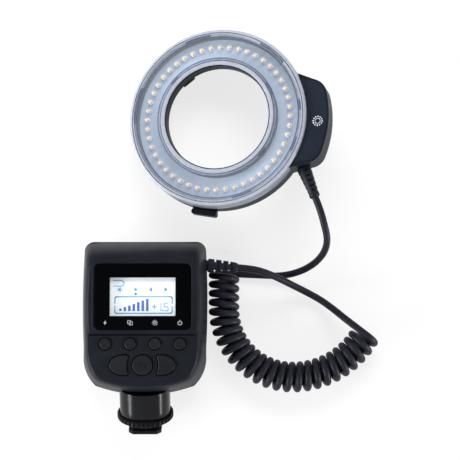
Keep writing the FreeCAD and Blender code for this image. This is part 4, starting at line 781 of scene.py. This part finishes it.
# Ring head: a black moulded housing with a junction box on its side, closed by a lid, and a rear
# plate on four screws. It leans on its far edge.
RING_BASE = Vector((8.6, 62.7, 12.098))*MM
lean = Euler((0, math.radians(-12), 0)).to_matrix() @ Euler((math.radians(-6), 0, 0)).to_matrix()
lean = lean @ Euler((0, 0, math.radians(-4))).to_matrix()
HEAD = Matrix.Translation(RING_BASE) @ lean.to_4x4()
ring_plastic = moulded("ring_plastic", (0.007, 0.009, 0.014), (0.011, 0.013, 0.019), 0.42, sheen=0.07)
dress(ring_plastic, "ring_housing", "rear_plate", "box_cover")
dress(dark_steel, "rear_plate_screws")
dress(board_green, "box_board")
soften(0.35, "ring_housing", angle=35)
soften(0.7, "box_cover", angle=35, segments=4)
ring_exit = HEAD @ Matrix.Translation(Vector((50.8, -25.25, 7.0))*MM)
ring_exit = ring_exit @ Matrix.Rotation(math.radians(-64), 4, "Z") @ ALONG_X
RING_BOOT = [(-1.6, 2.9), (0.2, 2.9), (0.3, 3.6), (1.0, 4.0), (2.2, 4.0), (8.0, 3.55), (13.0, 3.15),
             (17.0, 2.85), (17.2, 3.05), (18.4, 3.0), (18.8, 2.8), (19.0, 2.4)]
RING_SLOTS = [(3.2, 0.4, 112, 74), (6.3, 0.4, 112, 74), (9.4, 0.4, 112, 74), (12.5, 0.38, 112, 74),
              (15.4, 0.36, 112, 74), (4.7, 0.35, 285, 60), (7.8, 0.35, 285, 60), (10.9, 0.35, 285, 60),
              (13.9, 0.35, 285, 60)]
strain_relief("ring_boot_sleeve", "ring_boot", ring_exit, RING_BOOT, RING_SLOTS, 1.3)

# Release slide: a flat plastic ring that runs between housing and rear plate, against two
# springs. Its tab is at the lower end and two hooks reach up beside the opening.
SLIDE_LOW, SLIDE_TOP = 1.8, 4.5
TAB_AT = -95.5
HOOKS_AT = (36.0, 133.0)
HOOK_TOP = 9.3
dress(steel, "release_springs")
slide = bmesh.new()
band(slide, round_line(0, 0, 43.2, 72), round_line(0, 0, 37.8, 72), SLIDE_LOW, SLIDE_TOP)


def slide_block(angle, near, far, width, low, high, corner=0.0):
    """A block along a direction in the ring, between two distances from its middle."""
    cos, sin = math.cos(math.radians(angle)), math.sin(math.radians(angle))
    if corner:
        flat = rounded_line((near + far)/2, 0, far - near, width, corner, 5)
    else:
        flat = [(far, -width/2), (far, width/2), (near, width/2), (near, -width/2)]
    prism(slide, [(x*cos - y*sin, x*sin + y*cos) for x, y in flat], low, high)


slide_block(TAB_AT, 42.0, 55.0, 14.4, SLIDE_LOW, SLIDE_TOP)
slide_block(TAB_AT, 52.6, 55.7, 14.8, 1.3, 6.0, 1.3)
slide_block(TAB_AT, 52.8, 55.5, 14.4, 1.0, 6.3, 1.2)
for angle in HOOKS_AT:
    slide_block(angle, 32.6, 38.8, 8.0, SLIDE_LOW, SLIDE_TOP)
    slide_block(angle, 32.6, 33.8, 8.0, SLIDE_TOP - 0.1, HOOK_TOP)
    slide_block(angle, 29.85, 33.7, 8.0, 7.4, HOOK_TOP)
release = finish_piece(slide, "release_tab_and_hooks", HEAD, [ring_plastic],
                       "release_slide", smooth=35)
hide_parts("release_slide")

# Badge plate of the junction box: a thin near-black sheet, punched out and glued into the lid,
# with a small sign printed on it: a ring of dots round a circle.
badge_paint = moulded("badge_black", (0.008, 0.0125, 0.0205), (0.012, 0.0175, 0.027), rough=0.30,
                      grain=1200, grain_depth=0.00001, sheen=0.12)
BOX_TOP = 15.0
badge_edge = [(54.3, -23.2), (57.0, -22.5), (59.2, -20.6), (60.9, -17.2), (62.3, -11.8), (63.2, -5.9),
              (63.5, 0.0)]
badge_edge = badge_edge + [(x, -y) for x, y in reversed(badge_edge[:-1])]
badge_root = [polar(52.35, math.radians(a)) for a in range(28, -29, -4)]
badge = bmesh.new()
prism(badge, badge_edge + badge_root, BOX_TOP - 0.02, BOX_TOP + 0.22)
badge_piece = finish_piece(badge, "box_badge", HEAD, [badge_paint])
badge_rim = badge_piece.modifiers.new("edge_radius", "BEVEL")
badge_rim.width = 0.12*MM
badge_rim.segments = 2
badge_rim.limit_method = "ANGLE"
badge_rim.angle_limit = math.radians(60)
badge_icon = bmesh.new()
ICON_OUT = 58.4
SIGN_LOW, SIGN_TOP = BOX_TOP + 0.2, BOX_TOP + 0.26
for k in range(12):
    turn = math.radians(30*k)
    x, y = polar(2.6, turn, ICON_OUT)
    prism(badge_icon, [polar(0.42, j*math.pi/5, x, y) for j in range(10)], SIGN_LOW, SIGN_TOP)
for k in range(24):
    t1, t2 = math.radians(15*k), math.radians(15*(k + 1))
    prism(badge_icon, bent_quad(1.35, 1.65, t1, t2, ICON_OUT), SIGN_LOW, SIGN_TOP)
badge_print = printed_ink("badge_print", (0.50, 0.52, 0.56), (0.62, 0.64, 0.68))
finish_piece(badge_icon, "badge_icon", HEAD, [badge_print])


# Lamp board: a flat annulus of laminate that carries the lamps. Its white solder mask looks
# pale blue under the frosted cover.
def board_paint():
    material, tree, shader = new_material("board_paint")
    tree.links.new(ramp(tree, noise(tree, 120), [(0.3, (0.31, 0.405, 0.54)), (0.7, (0.35, 0.445, 0.58))]),
                   shader.inputs["Base Color"])
    tree.links.new(spread(tree, noise(tree, 400), 0.4, 0.55), shader.inputs["Roughness"])
    return material


dress(board_paint(), "led_board")

# Lamps: 48 small domes of clear resin, soldered to the board in one circle. Each is cast over a
# chip of yellow phosphor in a pale cup.
LAMPS = 48
LAMP_CIRCLE = 42.1
BOARD_FACE = 11.5
DOME_RADIUS = 1.65
DOME_HIGH = 3.6


def resin(name, dark, light, alpha, rough):
    material, tree, shader = new_material(name)
    tree.links.new(ramp(tree, noise(tree, 500), [(0.3, dark), (0.7, light)]), shader.inputs["Base Color"])
    tree.links.new(spread(tree, noise(tree, 900), rough, rough + 0.08), shader.inputs["Roughness"])
    shader.inputs["Alpha"].default_value = alpha
    return material


def turned(form, profile, place, sides=20, paint=0):
    """A turned body about a lamp's own axis: profile is radius and height, from the axis to the axis."""
    rings = []
    for radius, level in profile:
        if radius < 1e-6:
            rings.append([form.verts.new(place @ Vector((0, 0, level*MM)))])
            continue
        turns = (2*math.pi*k/sides for k in range(sides))
        rings.append([form.verts.new(place @ Vector((*polar(radius*MM, t), level*MM))) for t in turns])
    for one, two in zip(rings, rings[1:]):
        for k in range(sides):
            j = (k + 1) % sides
            corners = [one[k % len(one)], one[j % len(one)], two[j % len(two)], two[k % len(two)]]
            corners = list(dict.fromkeys(corners))
            if len(corners) > 2:
                form.faces.new(corners).material_index = paint


DOME_SHOULDER = DOME_HIGH - DOME_RADIUS
dome_profile = [(0, 0.02), (DOME_RADIUS + 0.1, 0.02), (DOME_RADIUS + 0.1, 0.7), (DOME_RADIUS, 0.75),
                (DOME_RADIUS, DOME_SHOULDER)]
dome_profile += [polar(DOME_RADIUS, math.radians(a), 0.0, DOME_SHOULDER) for a in range(18, 90, 18)]
dome_profile.append((0, DOME_HIGH))
CUP = [(0, 0.1), (1.5, 0.1), (1.55, 0.9), (1.1, 1.3), (0.9, 1.9), (0, 1.9)]
PHOSPHOR = [(0, 1.92), (0.95, 1.92), (1.12, 2.3), (0.95, 2.75), (0.5, 3.0), (0, 3.05)]
domes = bmesh.new()
chips = bmesh.new()
for i in range(LAMPS):
    turn = 2*math.pi*(i + 0.5)/LAMPS
    place = Matrix.Translation(Vector((*polar(LAMP_CIRCLE, turn), BOARD_FACE))*MM)
    turned(domes, dome_profile, place)
    turned(chips, CUP, place, 16, 0)
    turned(chips, PHOSPHOR, place, 16, 1)
dome_resin = resin("lamp_resin", (0.78, 0.82, 0.88), (0.90, 0.92, 0.95), 0.24, 0.06)
lamp_domes = finish_piece(domes, "lamp_domes", HEAD, [dome_resin], smooth=50)
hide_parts("leds")
lamp_chips = finish_piece(chips, "lamp_chips", HEAD, [
    plain("lamp_cup", (0.66, 0.68, 0.72), (0.76, 0.78, 0.82), 0.35),
    plain("lamp_phosphor", (0.84, 0.47, 0.06), (0.90, 0.56, 0.12), 0.5),
], smooth=50)
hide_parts("leds")

# Front cover: one clear moulding, lightly frosted, snapped on the housing. Its outer wall and
# rims look grey, the rims painted a lighter grey as a painted highlight; the plate over the lamps
# lets most light through, and grooves run round both rims, painted near-black as a painted shadow line.
# Painted light: the rim finish is a lighter grey, a painted highlight, and the groove finish is near-black,
# a painted shadow along the board's edges.
COVER_PARTS = {
    "cover_plate": ((0.72, 0.80, 0.90), (0.80, 0.87, 0.95), 0.10, 0.16),
    "cover_wall": ((0.22, 0.25, 0.30), (0.31, 0.34, 0.38), 0.66, 0.30),
    "cover_rim_painted_highlight": ((0.38, 0.40, 0.47), (0.46, 0.48, 0.55), 0.80, 0.26),
    "cover_groove_painted_shadow": ((0.05, 0.075, 0.13), (0.08, 0.105, 0.17), 0.85, 0.4),
}
cover_paints = [resin(name, *values) for name, values in COVER_PARTS.items()]
PLATE, WALL, RIM_HIGHLIGHT, GROOVE_SHADOW = range(4)
cover_profile = [
    # radius, height, finish of the face that starts here
    (52.0, 8.4, WALL), (52.0, 15.7, WALL), (51.85, 16.3, RIM_HIGHLIGHT), (51.45, 16.8, RIM_HIGHLIGHT), (50.9, 17.0, RIM_HIGHLIGHT),
    (50.25, 17.0, GROOVE_SHADOW), (50.05, 16.72, GROOVE_SHADOW), (49.75, 16.72, RIM_HIGHLIGHT), (49.55, 16.95, RIM_HIGHLIGHT),
    (49.1, 16.95, WALL), (48.7, 16.62, WALL), (47.9, 16.62, GROOVE_SHADOW), (47.5, 16.5, GROOVE_SHADOW),
    (47.1, 16.62, PLATE), (35.2, 16.62, GROOVE_SHADOW), (34.9, 16.5, GROOVE_SHADOW), (34.5, 16.62, WALL),
    (33.7, 16.62, GROOVE_SHADOW), (33.2, 16.6, RIM_HIGHLIGHT), (32.9, 17.0, RIM_HIGHLIGHT), (31.5, 17.0, RIM_HIGHLIGHT), (31.0, 16.9, RIM_HIGHLIGHT),
    (30.8, 16.55, RIM_HIGHLIGHT), (31.5, 16.5, RIM_HIGHLIGHT), (31.5, 11.1, WALL), (33.0, 11.1, WALL), (33.0, 15.45, WALL),
    (34.9, 15.45, PLATE), (47.5, 15.45, WALL), (50.0, 15.45, WALL), (50.0, 8.4, WALL),
]
SECTORS = 192
cover_form = bmesh.new()
cover_rings = [ring_at(cover_form, round_line(0, 0, radius, SECTORS), level)
               for radius, level, _ in cover_profile]
for (_, _, finish), one, two in zip(cover_profile, cover_rings, cover_rings[1:] + cover_rings[:1]):
    skin(cover_form, [one, two], finish)
clear_cover = finish_piece(cover_form, "clear_cover", HEAD, cover_paints, smooth=35)
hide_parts("ring_front_cover")

# Snap clips: short bent bars of plastic that hold the cover round both rims, dark where the
# light doesn't pass.
CLIPS = (
    # radius, start and end in degrees, top
    (48.9, 162, 187, 17.02), (48.9, 43, 64, 17.02), (48.5, 7, 14, 17.0), (48.5, -22, -12, 17.0),
    (48.7, 286, 300, 17.0), (34.0, 138, 147, 16.8), (34.0, 24, 38, 16.8), (34.0, -40, -30, 16.8),
    (48.8, 100, 118, 17.0),
)
clips = bmesh.new()
for radius, start, end, top in CLIPS:
    steps = max(2, (end - start)//3)
    for k in range(steps):
        t1 = math.radians(start + (end - start)*k/steps)
        t2 = math.radians(start + (end - start)*(k + 1)/steps)
        prism(clips, bent_quad(radius - 0.5, radius + 0.5, t1, t2), 15.3, top)
clip_grey = plain("clip_grey", (0.06, 0.075, 0.11), (0.09, 0.105, 0.15), 0.45)
finish_piece(clips, "cover_clips", HEAD, [clip_grey])

# Camera: looks straight down on the table from a metre up, from a little below the picture's
# middle, so that chins and lower walls show.
camera_data = bpy.data.cameras.new("camera")
camera = bpy.data.objects.new("camera", camera_data)
bpy.context.scene.collection.objects.link(camera)
bpy.context.scene.camera = camera
aim = Vector((12.2, 1.9, 0.0))*MM
camera.location = aim + Vector((0.0175, -0.0872, 0.996))
camera_data.sensor_width = 36
camera_data.lens = 133.8
sight = (aim - camera.location).normalized()
side = sight.cross(Vector((0, 1, 0))).normalized()
camera.rotation_mode = "QUATERNION"
camera.rotation_quaternion = Matrix((side, side.cross(sight), -sight)).transposed().to_quaternion()

# Light: four soft boxes in a grey room that is brighter near its horizon. The background is
# white to the camera, in reflections and through glass.
world = bpy.data.worlds.new("studio")
bpy.context.scene.world = world
world.use_nodes = True
sky = world.node_tree
high = sky.nodes.new("ShaderNodeSeparateXYZ")
sky.links.new(sky.nodes.new("ShaderNodeTexCoord").outputs["Generated"], high.inputs["Vector"])
ceiling = ramp(sky, high.outputs["Z"], [(0.0, (0.52, 0.54, 0.59)), (0.5, (0.30, 0.32, 0.37)),
                                        (0.85, (0.105, 0.112, 0.135))])
forward = sky.nodes.new("ShaderNodeMapRange")
forward.inputs["From Min"].default_value = -1.0
sky.links.new(high.outputs["Y"], forward.inputs["Value"])
# The room's grey from the picture's lower side to its upper side: place and brightness.
ROOM = ((0.12, 0.06), (0.2, 0.45), (0.3, 1.2), (0.6, 1.0), (0.85, 0.62))
near = ramp(sky, forward.outputs["Result"], [(place, (grey, grey, grey)) for place, grey in ROOM])
shade = sky.nodes.new("ShaderNodeMix")
shade.data_type = "RGBA"
shade.blend_type = "MULTIPLY"
shade.inputs["Factor"].default_value = 1.0
sky.links.new(ceiling, shade.inputs["A"])
sky.links.new(near, shade.inputs["B"])
sky.links.new(shade.outputs["Result"], sky.nodes["Background"].inputs["Color"])
seen = sky.nodes.new("ShaderNodeBackground")
seen.inputs["Color"].default_value = (1, 1, 1, 1)


def seen_rays(tree):
    """1 for the rays that show the background: from the camera, off a gloss or through glass."""
    path = tree.nodes.new("ShaderNodeLightPath")
    rays = path.outputs["Is Camera Ray"]
    for kind in ("Is Glossy Ray", "Is Transmission Ray"):
        either = tree.nodes.new("ShaderNodeMath")
        either.operation = "MAXIMUM"
        tree.links.new(rays, either.inputs[0])
        tree.links.new(path.outputs[kind], either.inputs[1])
        rays = either.outputs["Value"]
    return rays


choose = sky.nodes.new("ShaderNodeMixShader")
sky.links.new(seen_rays(sky), choose.inputs["Fac"])
sky.links.new(sky.nodes["Background"].outputs["Background"], choose.inputs[1])
sky.links.new(seen.outputs["Background"], choose.inputs[2])
sky.links.new(choose.outputs["Shader"], sky.nodes["World Output"].inputs["Surface"])


def soft_box(name, place, size, power, mirrored=True):
    light = bpy.data.lights.new(name, "AREA")
    light.shape = "RECTANGLE"
    light.size, light.size_y = size
    light.energy = power
    lamp = bpy.data.objects.new(name, light)
    bpy.context.scene.collection.objects.link(lamp)
    lamp.location = place
    lamp.rotation_mode = "QUATERNION"
    lamp.rotation_quaternion = (-Vector(place)).to_track_quat("-Z", "Y")
    lamp.visible_glossy = mirrored


soft_box("left_box", (-0.80, -0.25, 0.25), (0.9, 0.18), 14)
soft_box("right_box", (0.8, -0.38, 0.12), (0.5, 0.14), 7)
soft_box("top_box", (0.1, 0.75, 0.70), (0.9, 0.4), 10.5, False)
soft_box("low_box", (0.0, -0.8, 0.35), (0.8, 0.3), 3, False)

# Floor: a matt white sweep just under the object. It is white wherever it is seen far out, and a
# little less near the object, where it keeps a faint shadow.
SHADOW_WHITE, SHADOW_REACH, WHITE_REACH = 0.75, 0.3, 0.8
floor_mesh = bpy.data.meshes.new("floor")
floor_form = bmesh.new()
bmesh.ops.create_grid(floor_form, x_segments=4, y_segments=4, size=3.0)
floor_form.to_mesh(floor_mesh)
floor_form.free()
floor = bpy.data.objects.new("floor", floor_mesh)
floor.location.z = -0.0005
bpy.context.scene.collection.objects.link(floor)
floor_paint, floor_tree, floor_shader = new_material("floor_paint")
floor_shader.inputs["Base Color"].default_value = (0.92, 0.92, 0.92, 1)
floor_shader.inputs["Roughness"].default_value = 0.8
glow = floor_tree.nodes.new("ShaderNodeEmission")
from_middle = floor_tree.nodes.new("ShaderNodeVectorMath")
from_middle.operation = "LENGTH"
floor_tree.links.new(floor_tree.nodes.new("ShaderNodeTexCoord").outputs["Object"], from_middle.inputs[0])
whiteness = floor_tree.nodes.new("ShaderNodeMapRange")
whiteness.inputs["From Min"].default_value = SHADOW_REACH
whiteness.inputs["From Max"].default_value = WHITE_REACH
whiteness.inputs["To Min"].default_value = SHADOW_WHITE
floor_tree.links.new(from_middle.outputs["Value"], whiteness.inputs["Value"])
floor_share = floor_tree.nodes.new("ShaderNodeMath")
floor_share.operation = "MULTIPLY"
floor_tree.links.new(seen_rays(floor_tree), floor_share.inputs[0])
floor_tree.links.new(whiteness.outputs["Result"], floor_share.inputs[1])
floor_mix = floor_tree.nodes.new("ShaderNodeMixShader")
floor_tree.links.new(floor_share.outputs["Value"], floor_mix.inputs["Fac"])
floor_tree.links.new(floor_shader.outputs["BSDF"], floor_mix.inputs[1])
floor_tree.links.new(glow.outputs["Emission"], floor_mix.inputs[2])
floor_tree.links.new(floor_mix.outputs["Shader"], floor_tree.nodes["Material Output"].inputs["Surface"])
floor.data.materials.append(floor_paint)

# View: the plain view.
bpy.context.scene.view_settings.view_transform = "Standard"
